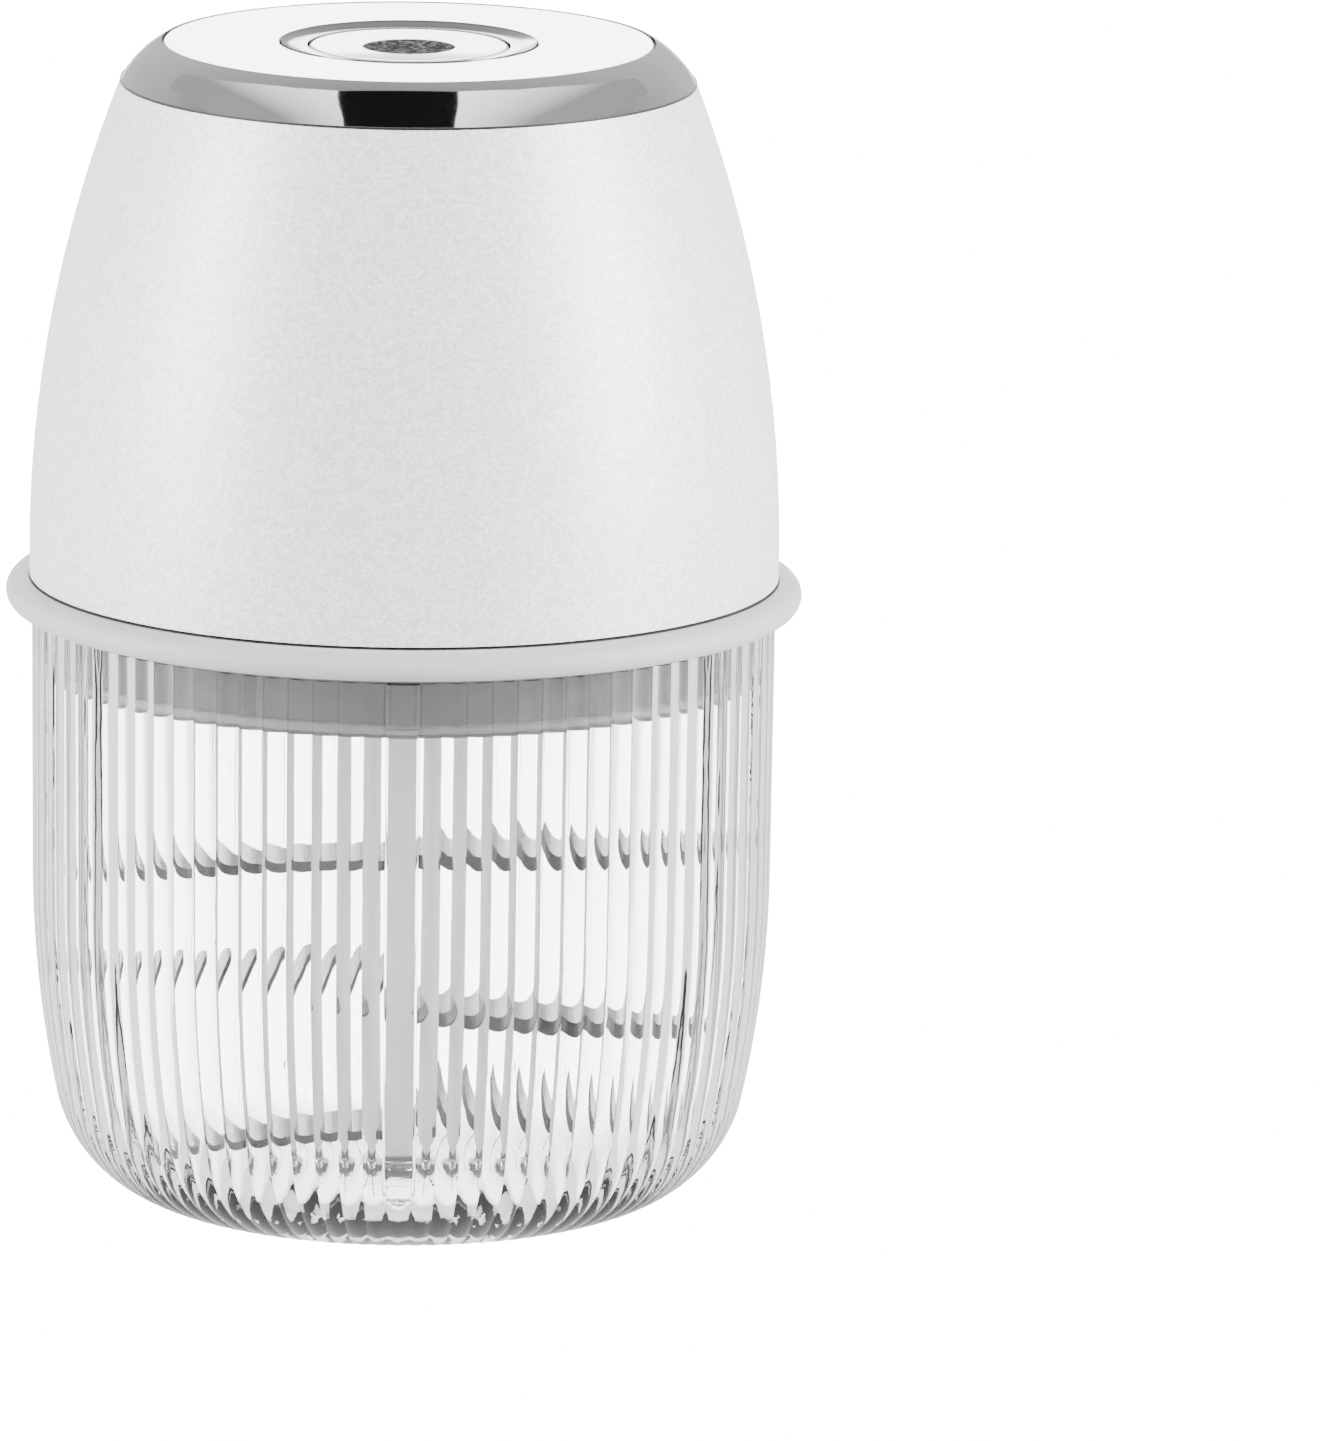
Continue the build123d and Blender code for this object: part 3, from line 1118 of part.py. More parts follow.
def outer_housing():
    """Painted shell with a clamping ledge near its base and a slot for the charging socket."""
    side, inside = housing_arc(0), housing_arc(HOUSING_WALL)
    shell_sides = [side, Line(side @ 1, inside @ 1), inside, Line(inside @ 0, side @ 0)]
    shell = revolve(make_face(Wire([e for s in shell_sides for e in s.edges()])), Axis.Z)
    ledge_outer = HOUSING_BASE_RADIUS - HOUSING_WALL / 2
    shell += ring(ledge_outer, COVER_RADIUS - LEDGE_REACH, LEDGE_Z, LEDGE_Z + LEDGE_THICK)
    spread = 2 * SOCKET_SHOW
    slot = stadium(
        SOCKET_WIDTH + spread, SOCKET_HEIGHT + spread, SOCKET_Y + SOCKET_LENGTH - 2, HOUSING_BASE_RADIUS + 1
    )
    recess = stadium(
        SOCKET_WIDTH + 3.4, SOCKET_HEIGHT + 3.4, HOUSING_BASE_RADIUS - 0.7, HOUSING_BASE_RADIUS + 1
    )
    return cut(shell, [slot, recess])


# ------------------------------------------------------------------ top pieces
def bezel_ring():
    """Plated ring: a rounded chamfer outside, a seat for the cover and a spigot inside the housing."""
    inner_top = BEZEL_TOP_RADIUS
    housing_bore = housing_arc(HOUSING_WALL) @ 1
    spigot = housing_bore.X - 0.15
    seat_z = TOP_COVER_Z - STATIC_FIT
    ledge_inner = inner_top - BEZEL_LEDGE
    face = side_arc((inner_top, TOP_Z), (HOUSING_TOP_RADIUS, HOUSING_TOP_Z + STATIC_FIT), BEZEL_BULGE)
    inside = Polyline(
        (HOUSING_TOP_RADIUS, 0, HOUSING_TOP_Z + STATIC_FIT),
        (spigot, 0, HOUSING_TOP_Z + STATIC_FIT),
        (spigot, 0, HOUSING_TOP_Z - BEZEL_SPIGOT),
        (spigot - 1.5, 0, HOUSING_TOP_Z - BEZEL_SPIGOT),
        (spigot - 1.5, 0, GUIDE_Z - STATIC_FIT),
        (ledge_inner, 0, GUIDE_Z - STATIC_FIT),
        (ledge_inner, 0, seat_z),
        (inner_top, 0, seat_z),
        (inner_top, 0, TOP_Z),
    )
    section = make_face(Wire([*face.edges(), *inside.edges()]))
    return revolve(section, Axis.Z)


def top_cover():
    """Glossy disc set in the bezel, with a round opening for the button."""
    disc = ring(
        BEZEL_TOP_RADIUS - COVER_FIT, TRIM_RADIUS + 0.1, TOP_COVER_Z, TOP_COVER_Z + TOP_COVER_THICK
    )
    return fillet(disc.edges().group_by(Axis.Z)[-1], 0.25)


def button_trim_ring():
    """Satin metal ring round the button, with a hollowed face and a lip under the cover."""
    top = TOP_COVER_Z + TOP_COVER_THICK + TRIM_PROUD
    inner = TRIM_RADIUS - TRIM_WIDTH
    low = TOP_COVER_Z - TRIM_LIP_THICK
    middle = (inner + TRIM_RADIUS) / 2
    hollow = ThreePointArc((inner, 0, top - 0.5), (middle, 0, top - 0.5), (TRIM_RADIUS, 0, top))
    rest = Polyline(
        (TRIM_RADIUS, 0, top),
        (TRIM_RADIUS, 0, TOP_COVER_Z - STATIC_FIT),
        (TRIM_RADIUS + TRIM_LIP, 0, TOP_COVER_Z - STATIC_FIT),
        (TRIM_RADIUS + TRIM_LIP, 0, low),
        (inner, 0, low),
        (inner, 0, top - 0.5),
    )
    return revolve(make_face(Wire([*hollow.edges(), *rest.edges()])), Axis.Z)


def button_guide():
    """Plate under the cover with a well that guides the button's sleeve and seats its spring."""
    well = BUTTON_RADIUS + GUIDE_SPACE
    high = GUIDE_Z + GUIDE_THICK
    plate = ring(BEZEL_TOP_RADIUS - BEZEL_LEDGE - STATIC_FIT, well, GUIDE_Z, high)
    wall = ring(well + 1.2, well, SPRING_SEAT_Z, high)
    collar = ring(well + 0.6, SLEEVE_RADIUS + 0.1, GUIDE_COLLAR_Z - GUIDE_THICK, GUIDE_COLLAR_Z)
    arm = block(0, well + 0.6, -1.2, 1.2, SPRING_SEAT_Z, SPRING_SEAT_Z + 0.8)
    seat = ring(SPRING_RADIUS + SPRING_WIRE + 0.8, 0, SPRING_SEAT_Z, SPRING_SEAT_Z + 0.8)
    body = fuse([plate, wall, collar, seat] + [Rot(0, 0, a) * arm for a in (0, 120, 240)])
    return body - ring(PLUNGER_RADIUS + 0.3, 0, SPRING_SEAT_Z - 1, SPRING_SEAT_Z + 2)


def power_button():
    """White push button: a dished cap with a guide sleeve, two snap hooks and a plunger."""
    cap = ring(BUTTON_RADIUS, 0, BUTTON_UNDER_Z, BUTTON_TOP_Z)
    cap = fillet(cap.edges().group_by(Axis.Z)[-1], 0.4)
    ball = ((INSERT_RADIUS + 5.5) ** 2 + BUTTON_DISH**2) / (2 * BUTTON_DISH)
    cap -= Pos(0, 0, BUTTON_TOP_Z - BUTTON_DISH + ball) * Sphere(ball)
    inner = SLEEVE_RADIUS - SLEEVE_WALL
    sleeve = ring(SLEEVE_RADIUS, inner, SPRING_SEAT_Z + 0.9 + BUTTON_TRAVEL, BUTTON_UNDER_Z + 0.2)
    hook_top = GUIDE_COLLAR_Z - GUIDE_THICK - 0.05
    hook_low = hook_top - HOOK_THICK
    legs = ring(SLEEVE_RADIUS, inner, hook_low, BUTTON_UNDER_Z) + ring(
        SLEEVE_RADIUS + HOOK_REACH, inner, hook_low, hook_top
    )
    legs = legs & block(-HOOK_WIDTH / 2, HOOK_WIDTH / 2, -20, 20, hook_low - 1, BUTTON_TOP_Z)
    plunger = ring(PLUNGER_RADIUS, 0, PLUNGER_Z, BUTTON_UNDER_Z + 0.2)
    pocket = ring(INSERT_RADIUS + STATIC_FIT, 0, INSERT_Z - STATIC_FIT, BUTTON_TOP_Z + 1)
    return fuse([cap, sleeve, legs, plunger]) - pocket


def button_insert():
    """Dark dimple let into the middle of the button."""
    body = ring(INSERT_RADIUS, 0, INSERT_Z, INSERT_Z + INSERT_THICK)
    ball = 30.0
    return body - Pos(0, 0, INSERT_Z + INSERT_THICK - 0.4 + ball) * Sphere(ball)


def button_spring():
    """Coil spring between the guide's seat and the button's underside."""
    low = SPRING_SEAT_Z + 0.8 + SPRING_WIRE + 0.05
    high = BUTTON_UNDER_Z - SPRING_WIRE - 0.05
    coil = Pos(0, 0, low) * Helix((high - low) / SPRING_TURNS, high - low, SPRING_RADIUS - SPRING_WIRE)
    section = Plane(origin=coil @ 0, z_dir=coil % 0) * Circle(SPRING_WIRE)
    return sweep(section, path=coil, is_frenet=True)


# ------------------------------------------------------------------ write each piece to its own file
PIECES = {
    "glass_bowl": glass_bowl,
    "pivot_pin": pivot_pin,
    "lid": lid,
    "lid_bush": lid_bush,
    "lid_gasket": lid_gasket,
    "collar_ring": collar_ring,
    "blade_spindle": blade_spindle,
    "upper_blade": upper_blade,
    "middle_blade": middle_blade,
    "lower_blade": lower_blade,
    "base_cover": base_cover,
    "base_bearing": base_bearing,
    "shaft_seal": shaft_seal,
    "base_screws": base_screws,
    "gearbox_case": gearbox_case,
    "gearbox_screws": gearbox_screws,
    "sun_gear": sun_gear,
    "planet_carrier": planet_carrier,
    "carrier_pins": carrier_pins,
    "output_shaft": output_shaft,
    "drive_coupling": drive_coupling,
    "motor_can": motor_can,
    "motor_magnets": motor_magnets,
    "motor_end_cap": motor_end_cap,
    "motor_terminals": motor_terminals,
    "motor_screws": motor_screws,
    "motor_shaft": motor_shaft,
    "armature": armature,
    "motor_windings": motor_windings,
    "commutator": commutator,
    "inner_frame": inner_frame,
    "battery_cells": battery_cells,
    "battery_tabs": battery_tabs,
    "control_board": control_board,
    "board_parts": board_parts,
    "board_screws": board_screws,
    "start_switch": start_switch,
    "motor_leads": lambda: [lead(8.6, 0, 1), lead(-8.6, 0, -1)],
    "charging_board": charging_board,
    "charging_socket": charging_socket,
    "socket_tongue": socket_tongue,
    "interlock_pin": interlock_pin,
    "interlock_switch": interlock_switch,
    "outer_housing": outer_housing,
    "bezel_ring": bezel_ring,
    "top_cover": top_cover,
    "button_trim_ring": button_trim_ring,
    "button_guide": button_guide,
    "power_button": power_button,
    "button_insert": button_insert,
    "button_spring": button_spring,
}
for number in range(PLANET_COUNT):
    PIECES[f"planet_gear_{number + 1}"] = lambda number=number: planet_gear(number)

os.makedirs("parts", exist_ok=True)
for name, make in PIECES.items():
    made = make()
    solids = [s for shape in (made if isinstance(made, list) else [made]) for s in shape.solids()]
    export_step(solids[0] if len(solids) == 1 else Compound(children=solids), f"parts/{name}.step")
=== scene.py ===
"""Looks for the cordless mini food processor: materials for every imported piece, a finely fluted glass bowl
in place of the plain one, and a small light table to stand it on."""

import math

import bmesh
import bpy
from mathutils import Matrix, Vector


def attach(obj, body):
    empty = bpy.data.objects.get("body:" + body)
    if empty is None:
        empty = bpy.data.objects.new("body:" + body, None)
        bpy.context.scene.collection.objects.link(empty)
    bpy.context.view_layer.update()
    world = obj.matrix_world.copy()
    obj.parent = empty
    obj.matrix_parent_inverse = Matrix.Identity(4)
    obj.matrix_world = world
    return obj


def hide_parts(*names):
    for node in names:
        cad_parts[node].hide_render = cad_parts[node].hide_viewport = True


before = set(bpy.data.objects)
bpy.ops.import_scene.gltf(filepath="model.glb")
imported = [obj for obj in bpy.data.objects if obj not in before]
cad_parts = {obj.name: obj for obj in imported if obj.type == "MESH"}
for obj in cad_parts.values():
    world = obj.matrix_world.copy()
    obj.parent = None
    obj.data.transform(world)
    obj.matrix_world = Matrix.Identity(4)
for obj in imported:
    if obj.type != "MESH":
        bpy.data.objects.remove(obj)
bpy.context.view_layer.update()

# ---------------------------------------------------------------- glass bowl
# Soda-lime glass, pressed in a mould: ninety rounded flutes run down the wall and round the bottom corner,
# and three smooth bars hide the slots that the lid's lugs drop into. It is fire-polished, bright and clear,
# with the slight waviness that pressing leaves.
MM = 0.001


def srgb(text):
    """A colour from its sRGB hex value, as the linear numbers that a shader socket takes."""
    parts = [int(text[i : i + 2], 16) / 255 for i in (0, 2, 4)]
    linear = [c / 12.92 if c <= 0.04045 else ((c + 0.055) / 1.055) ** 2.4 for c in parts]
    return (*linear, 1.0)


def add(tree, kind, inputs=None, **settings):
    """Add a node with its settings; each input is a value, or another node's output to link from."""
    node = tree.nodes.new(kind)
    for name, value in settings.items():
        setattr(node, name, value)
    for name, value in (inputs or {}).items():
        if isinstance(value, bpy.types.NodeSocket):
            tree.links.new(value, node.inputs[name])
        else:
            node.inputs[name].default_value = value
    return node


def new_finish(name):
    """An empty material with its node tree, ready for a surface."""
    material = bpy.data.materials.new(name)
    material.use_nodes = True
    material.node_tree.nodes.clear()
    return material, material.node_tree


def close(tree, shader):
    """Link the finished shader to the material's output."""
    add(tree, "ShaderNodeOutputMaterial", {"Surface": shader.outputs[0]})


def grain(tree, size_mm, detail=2.0, stretch=(1, 1, 1)):
    """Noise whose grains are about size_mm across in the piece's own space."""
    place = add(tree, "ShaderNodeTexCoord")
    scaled = add(tree, "ShaderNodeMapping", {"Vector": place.outputs["Object"], "Scale": stretch})
    return add(
        tree,
        "ShaderNodeTexNoise",
        {"Vector": scaled.outputs[0], "Scale": 1 / (size_mm * MM), "Detail": detail, "Roughness": 0.55},
    )


def shades(tree, factor, low, high, start=0.35, end=0.65):
    """A colour that runs from low to high as the factor goes from start to end."""
    ramp = add(tree, "ShaderNodeValToRGB", {"Fac": factor})
    for stop, place, colour in zip(ramp.color_ramp.elements, (start, end), (low, high)):
        stop.position = place
        stop.color = colour
    return ramp.outputs["Color"]


def dents(tree, height, depth_mm, strength=1.0):
    """A bump from a height between 0 and 1 that is depth_mm deep."""
    return add(
        tree, "ShaderNodeBump", {"Height": height, "Distance": depth_mm * MM, "Strength": strength}
    ).outputs[0]


def pressed_glass(name):
    """Clear pressed glass: no colour of its own, sharp at the surface, with slow waves 7 mm across."""
    material, tree = new_finish(name)
    waves = grain(tree, 7.0, detail=3.0, stretch=(1, 1, 0.4))
    shader = add(
        tree,
        "ShaderNodeBsdfPrincipled",
        {
            "Base Color": srgb("ffffff"),
            "Roughness": 0.0,
            "IOR": 1.5,
            "Transmission Weight": 1.0,
            "Normal": dents(tree, waves.outputs["Fac"], 0.1, 0.6),
        },
    )
    close(tree, shader)
    return material


FLUTES = 90
FLUTE_STEPS = 8
FLUTE_DEPTH = 0.55
RIM_RADIUS = 43.0
RIM_Z = 71.0
WALL = 3.0
FLOOR = 4.5
DRAFT = math.radians(0.4)
TURN = math.radians(12.0)
BELLY = 130.0
CORNER = 16.0
FLUTE_START = 21.0  # radius on the underside where the flutes begin
FLUTE_RUN_IN = 5.0  # and how far they take to reach full depth
PLAIN_BAND = 1.6
BAND_STEP = 0.4
LIP = 0.7
BAR_HALF = 1.9
BAR_PROUD = 0.7
BAR_SHOULDER = 0.4
BAR_END_Z = 7.9
BAR_BLEND = 3.0  # over which the columns beside a bar turn from straight down to fanned out
SLOT_HALF = 1.5
SLOT_DEPTH = 1.2
SLOT_LENGTH = 7.2
FOOT_RADIUS = 18.0
BOSS_RADIUS = 4.6
BOSS_RISE = 2.0
PIN_HOLE = 2.53
PIN_HEAD_HOLE = 5.63
PIN_HEAD_TOP = 2.03
RECESS = 0.8
HUB_RADIUS = 6.0  # inside it the columns no longer keep their distance from a bar's middle

corner_z = BELLY * (math.sin(TURN) - math.sin(DRAFT)) + CORNER * (1 - math.sin(TURN))
belly_r = RIM_RADIUS - (RIM_Z - corner_z) * math.tan(DRAFT) - BELLY * math.cos(DRAFT)
belly_z = corner_z + BELLY * math.sin(DRAFT)
foot_r = belly_r + (BELLY - CORNER) * math.cos(TURN)
foot_z = belly_z - (BELLY - CORNER) * math.sin(TURN)


def arc(centre, radius, start, end, steps):
    """Points of a side-view arc, its angles measured down from the horizontal."""
    angles = [start + (end - start) * i / steps for i in range(steps + 1)]
    return [(centre[0] + radius * math.cos(a), centre[1] - radius * math.sin(a)) for a in angles]


def line(start, end, steps):
    """Points along a straight run, both ends included."""
    return [tuple(a + (b - a) * i / steps for a, b in zip(start, end)) for i in range(steps + 1)]


outside = line((FOOT_RADIUS, 0.0), (foot_r, 0.0), 5)[:-1]
outside += arc((foot_r, foot_z), CORNER, math.pi / 2, TURN, 26)[:-1]
outside += arc((belly_r, belly_z), BELLY, TURN, DRAFT, 16)[:-1]
flute_top = (RIM_RADIUS - PLAIN_BAND * math.tan(DRAFT), RIM_Z - PLAIN_BAND)
outside += line((belly_r + BELLY * math.cos(DRAFT), corner_z), flute_top, 6)
band = RIM_RADIUS - BAND_STEP
rim = [(band, RIM_Z - PLAIN_BAND)]
rim += [
    (band - LIP + LIP * math.cos(a), RIM_Z - LIP + LIP * math.sin(a))
    for a in (0, 0.4, 0.8, 1.2, math.pi / 2)
]
mouth = RIM_RADIUS - WALL
rim += [(mouth + LIP, RIM_Z), (mouth + 0.35, RIM_Z - 0.12), (mouth + 0.1, RIM_Z - 0.35)]
rim += [(mouth, RIM_Z - LIP)]
inner_corner = CORNER - (FLOOR - WALL * math.sin(TURN)) / (1 - math.sin(TURN))
inner_r = belly_r + (BELLY - WALL - inner_corner) * math.cos(TURN)
inner_z = belly_z - (BELLY - WALL - inner_corner) * math.sin(TURN)
slot_foot = RIM_Z - SLOT_LENGTH
wall_foot = (belly_r + (BELLY - WALL) * math.cos(DRAFT), corner_z)
inside = line((mouth, RIM_Z - 1.0), (mouth, slot_foot + 0.05), 3)
inside += line((mouth, slot_foot - 0.05), wall_foot, 4)[:-1]
inside += arc((belly_r, belly_z), BELLY - WALL, DRAFT, TURN, 10)[:-1]
inside += arc((inner_r, inner_z), inner_corner, TURN, math.pi / 2, 10)
inside += [(BOSS_RADIUS + 0.4, FLOOR), (BOSS_RADIUS + 0.1, FLOOR + 0.1), (BOSS_RADIUS, FLOOR + 0.4)]
inside += [(BOSS_RADIUS, FLOOR + BOSS_RISE - 0.2), (BOSS_RADIUS - 0.2, FLOOR + BOSS_RISE)]
inside += [(PIN_HOLE, FLOOR + BOSS_RISE), (PIN_HOLE, PIN_HEAD_TOP)]
inside += [(PIN_HEAD_HOLE, PIN_HEAD_TOP), (PIN_HEAD_HOLE, RECESS), (FOOT_RADIUS - 1, RECESS)]
inside += [(FOOT_RADIUS - 1, 0.3), (FOOT_RADIUS - 0.7, 0.0)]

# Columns at these distances from a bar's middle, closest at the slot's side and at the bar's shoulder.
BAR_COLUMNS = [0, 0.6, 1.1, 1.4, 1.5, 1.52, 1.62, 1.72, 1.8, 1.86, 1.9, 1.94]
BAR_EDGE = BAR_COLUMNS[-1]
pitch = 2 * math.pi / FLUTES
FLUTE_HALF = RIM_RADIUS * pitch / 2
FLUTE_ARC = (FLUTE_HALF**2 + FLUTE_DEPTH**2) / (2 * FLUTE_DEPTH)


def bowl_columns():
    """The columns round the bowl as (flute angle, offset in mm from a bar's middle or None)."""
    columns = []
    for flute in range(FLUTES):
        middle = -math.pi / 2 + flute * pitch
        near = (flute + FLUTES // 6) % (FLUTES // 3) - FLUTES // 6
        if near == 0:
            columns += [(middle, -u) for u in reversed(BAR_COLUMNS[1:])]
            columns += [(middle, u) for u in BAR_COLUMNS]
        elif abs(near) == 1:
            bar = middle - near * pitch
            far = 1.5 * pitch * RIM_RADIUS
            quarters = (1, 2, 3, 4) if near > 0 else (3, 2, 1)
            columns += [(bar, near * (BAR_EDGE + (far - BAR_EDGE) * k / 4)) for k in quarters]
        else:
            columns += [
                (middle + (k / FLUTE_STEPS - 0.5) * pitch, None) for k in range(1, FLUTE_STEPS + 1)
            ]
    return columns


def flute_drop(angle):
    """How far the glass falls from a flute's crest at this angle, along a round arc to 1 in the valley."""
    part = (angle + math.pi / 2) / pitch
    across = 2 * (part - round(part)) * FLUTE_HALF
    return (FLUTE_ARC - math.sqrt(FLUTE_ARC**2 - across**2)) / FLUTE_DEPTH


def smooth_step(value):
    """0 below 0, 1 above 1, and an even curve between them."""
    value = max(0.0, min(1.0, value))
    return value * value * (3 - 2 * value)


def bar_rise(offset, z):
    """How far a bar stands out here, with a rounded shoulder and a round lower end; None beyond the bar."""
    below = max(BAR_END_Z + BAR_HALF - z, 0)
    depth = min((BAR_HALF - math.hypot(offset, below)) / BAR_SHOULDER, 1)
    return BAR_PROUD * math.sqrt(1 - (1 - depth) ** 2) if depth > 0 else None


def bowl_point(r, z, base, offset, face):
    """Where one column crosses one ring of the bowl's outline."""
    if offset is None:
        angle = base
    elif r > HUB_RADIUS:
        spread = smooth_step((abs(offset) - BAR_EDGE) / BAR_BLEND)
        angle = base + (1 - spread) * math.asin(offset / r) + spread * offset / RIM_RADIUS
    else:
        angle = base + offset / RIM_RADIUS
    if face == "outside":
        fade = smooth_step((r - FLUTE_START) / FLUTE_RUN_IN) * r / RIM_RADIUS
        bare = r - FLUTE_DEPTH * fade * flute_drop(angle)
        rise = None if offset is None else bar_rise(offset, z)
        r = bare if rise is None else max(bare, r + rise)
    elif face == "slot" and offset is not None and abs(offset) <= SLOT_HALF:
        r += SLOT_DEPTH
    return (r * math.cos(angle) * MM, r * math.sin(angle) * MM, z * MM)


def loop_mesh(name, rings):
    """A closed surface from rings of points, each ring joined to the next and the last to the first."""
    mesh = bpy.data.meshes.new(name)
    count, depth = len(rings[0]), len(rings)
    faces = []
    for i in range(depth):
        j = (i + 1) % depth
        for k in range(count):
            n = (k + 1) % count
            faces.append((i * count + k, i * count + n, j * count + n, j * count + k))
    mesh.from_pydata([p for ring in rings for p in ring], [], faces)
    body = bmesh.new()
    body.from_mesh(mesh)
    bmesh.ops.remove_doubles(body, verts=body.verts, dist=1e-7)
    bmesh.ops.dissolve_degenerate(body, edges=body.edges, dist=1e-8)
    bmesh.ops.recalc_face_normals(body, faces=body.faces)
    body.to_mesh(mesh)
    body.free()
    piece = bpy.data.objects.new(name, mesh)
    bpy.context.scene.collection.objects.link(piece)
    return piece


def soften(piece, degrees):
    """Smooth shading, kept sharp where two faces meet at more than this angle."""
    for face in piece.data.polygons:
        face.use_smooth = True
    piece.data.set_sharp_from_angle(angle=math.radians(degrees))


columns = bowl_columns()
rings = [[bowl_point(r, z, a, u, "outside") for a, u in columns] for r, z in outside]
rings += [[bowl_point(r, z, a, u, "rim") for a, u in columns] for r, z in rim]
rings += [
    [bowl_point(r, z, a, u, "slot" if z > slot_foot else "inside") for a, u in columns]
    for r, z in inside
]
bowl = loop_mesh("fluted_glass_bowl", rings)
soften(bowl, 24)
bowl.data.materials.append(pressed_glass("pressed clear glass"))
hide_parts("glass_bowl")
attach(bowl, "bowl")


def finish_nodes(material, *names):
    """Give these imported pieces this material."""
    for name in names:
        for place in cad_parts[name].material_slots:
            place.material = material


# ---------------------------------------------------------------- pivot pin
# A turned stainless pin pressed into the middle of the glass floor, which the spindle spins on.
# Turning leaves fine rings round it, so its highlight is drawn out a little.


def turned_metal(name, colour, roughness, groove_mm=0.25):
    """Bare metal off a lathe: rings a fraction of a millimetre apart round the Z axis."""
    material, tree = new_finish(name)
    rings = grain(tree, groove_mm, detail=1.0, stretch=(0.02, 0.02, 1))
    tone = shades(tree, rings.outputs["Fac"], srgb(colour), srgb("ffffff"), 0.3, 1.6)
    shader = add(
        tree,
        "ShaderNodeBsdfPrincipled",
        {
            "Base Color": tone,
            "Metallic": 1.0,
            "Roughness": roughness,
            "Normal": dents(tree, rings.outputs["Fac"], 0.01, 0.4),
        },
    )
    close(tree, shader)
    return material


pin_steel = turned_metal("turned stainless steel", "b9b4a8", 0.24)
finish_nodes(pin_steel, "pivot_pin")

# ---------------------------------------------------------------- lid, bush and gasket
# The lid is injection-moulded grey polypropylene with a fine matte texture, which scatters light evenly.
# Its bush is white acetal, smooth and slightly waxy, and its gasket is soft grey silicone.


def moulded_plastic(name, colour, roughness, texture_mm=0.5, depth_mm=0.015, coat=0.0, tint=0.06):
    """Moulded plastic: one colour with a faint cloudiness, and the mould's fine spark-eroded texture."""
    material, tree = new_finish(name)
    cloud = grain(tree, 14.0, detail=2.0)
    texture = grain(tree, texture_mm, detail=2.0)
    base = srgb(colour)
    deep = tuple(c * (1 - tint) for c in base[:3]) + (1.0,)
    tone = shades(tree, cloud.outputs["Fac"], deep, base)
    shader = add(
        tree,
        "ShaderNodeBsdfPrincipled",
        {
            "Base Color": tone,
            "Roughness": roughness,
            "IOR": 1.49,
            "Coat Weight": coat,
            "Coat Roughness": 0.06,
            "Normal": dents(tree, texture.outputs["Fac"], depth_mm, 0.6),
        },
    )
    close(tree, shader)
    return material


lid_grey = moulded_plastic("matte grey polypropylene", "565758", 0.5)
acetal = moulded_plastic("white acetal", "e6e5df", 0.3, depth_mm=0.005)
finish_nodes(lid_grey, "lid")
finish_nodes(acetal, "lid_bush", "interlock_pin")


def silicone(name, colour, roughness):
    """Cast silicone rubber: matte, with a soft bloom at grazing angles and a faint dusting."""
    material, tree = new_finish(name)
    dust = grain(tree, 1.4, detail=4.0)
    base = srgb(colour)
    tone = shades(tree, dust.outputs["Fac"], tuple(c * 0.95 for c in base[:3]) + (1.0,), base, 0.3, 0.7)
    fine = grain(tree, 0.35, detail=2.0)
    shader = add(
        tree,
        "ShaderNodeBsdfPrincipled",
        {
            "Base Color": tone,
            "Roughness": roughness,
            "IOR": 1.41,
            "Sheen Weight": 0.25,
            "Sheen Roughness": 0.4,
            "Normal": dents(tree, fine.outputs["Fac"], 0.012, 0.5),
        },
    )
    close(tree, shader)
    return material


finish_nodes(silicone("grey gasket silicone", "9d9e9e", 0.6), "lid_gasket")

# ---------------------------------------------------------------- collar ring
# A pale grey silicone ring stretched round the lid's flange, to grip by and to soften knocks.
collar_grey = silicone("pale grey silicone", "b0b3b2", 0.55)
finish_nodes(collar_grey, "collar_ring")

# ---------------------------------------------------------------- spindle and blades
# The spindle is white ABS moulded round the blades. The blades are stamped stainless steel, brushed along
# each wing, so reflections are drawn out across it. Their bevels and cut edges are painted dark grey: a
# painted reflection of the dim room.
spindle_white = moulded_plastic("glossy white ABS spindle", "f1f1f0", 0.25, depth_mm=0.004, coat=0.3)
finish_nodes(spindle_white, "blade_spindle")


def brushed_steel(name, colour, roughness, turn, line_mm=0.12):
    """Stainless sheet brushed along a wing that is turned about Z, with a painted dark reflection wherever
    it isn't level.
    """
    material, tree = new_finish(name)
    place = add(tree, "ShaderNodeTexCoord")
    along = add(
        tree,
        "ShaderNodeMapping",
        {"Vector": place.outputs["Object"], "Rotation": (0, 0, -math.radians(turn))},
    )
    stretched = add(tree, "ShaderNodeMapping", {"Vector": along.outputs[0], "Scale": (0.02, 1, 1)})
    lines = add(
        tree,
        "ShaderNodeTexNoise",
        {"Vector": stretched.outputs[0], "Scale": 1 / (line_mm * MM), "Detail": 2.0},
    )
    flat = shades(tree, lines.outputs["Fac"], srgb(colour), srgb("c6c9cb"), 0.3, 0.8)
    # Painted reflection: faces tilted away from level are coloured dark grey, standing in for the dim room
    # they would mirror.
    surface = add(tree, "ShaderNodeNewGeometry")
    facing = add(tree, "ShaderNodeSeparateXYZ", {"Vector": surface.outputs["True Normal"]})
    painted_reflection_tilt = add(tree, "ShaderNodeMath", {0: facing.outputs["Z"]}, operation="ABSOLUTE")
    level = shades(tree, painted_reflection_tilt.outputs[0], srgb("000000"), srgb("ffffff"), 0.8, 0.97)
    tone = add(
        tree, "ShaderNodeMix", {0: level, 6: srgb("3a3c3e"), 7: flat}, data_type="RGBA"
    ).outputs[2]
    shader = add(
        tree,
        "ShaderNodeBsdfPrincipled",
        {
            "Base Color": tone,
            "Metallic": 1.0,
            "Roughness": roughness,
            "Normal": dents(tree, lines.outputs["Fac"], 0.006, 0.5),
        },
    )
    close(tree, shader)
    return material


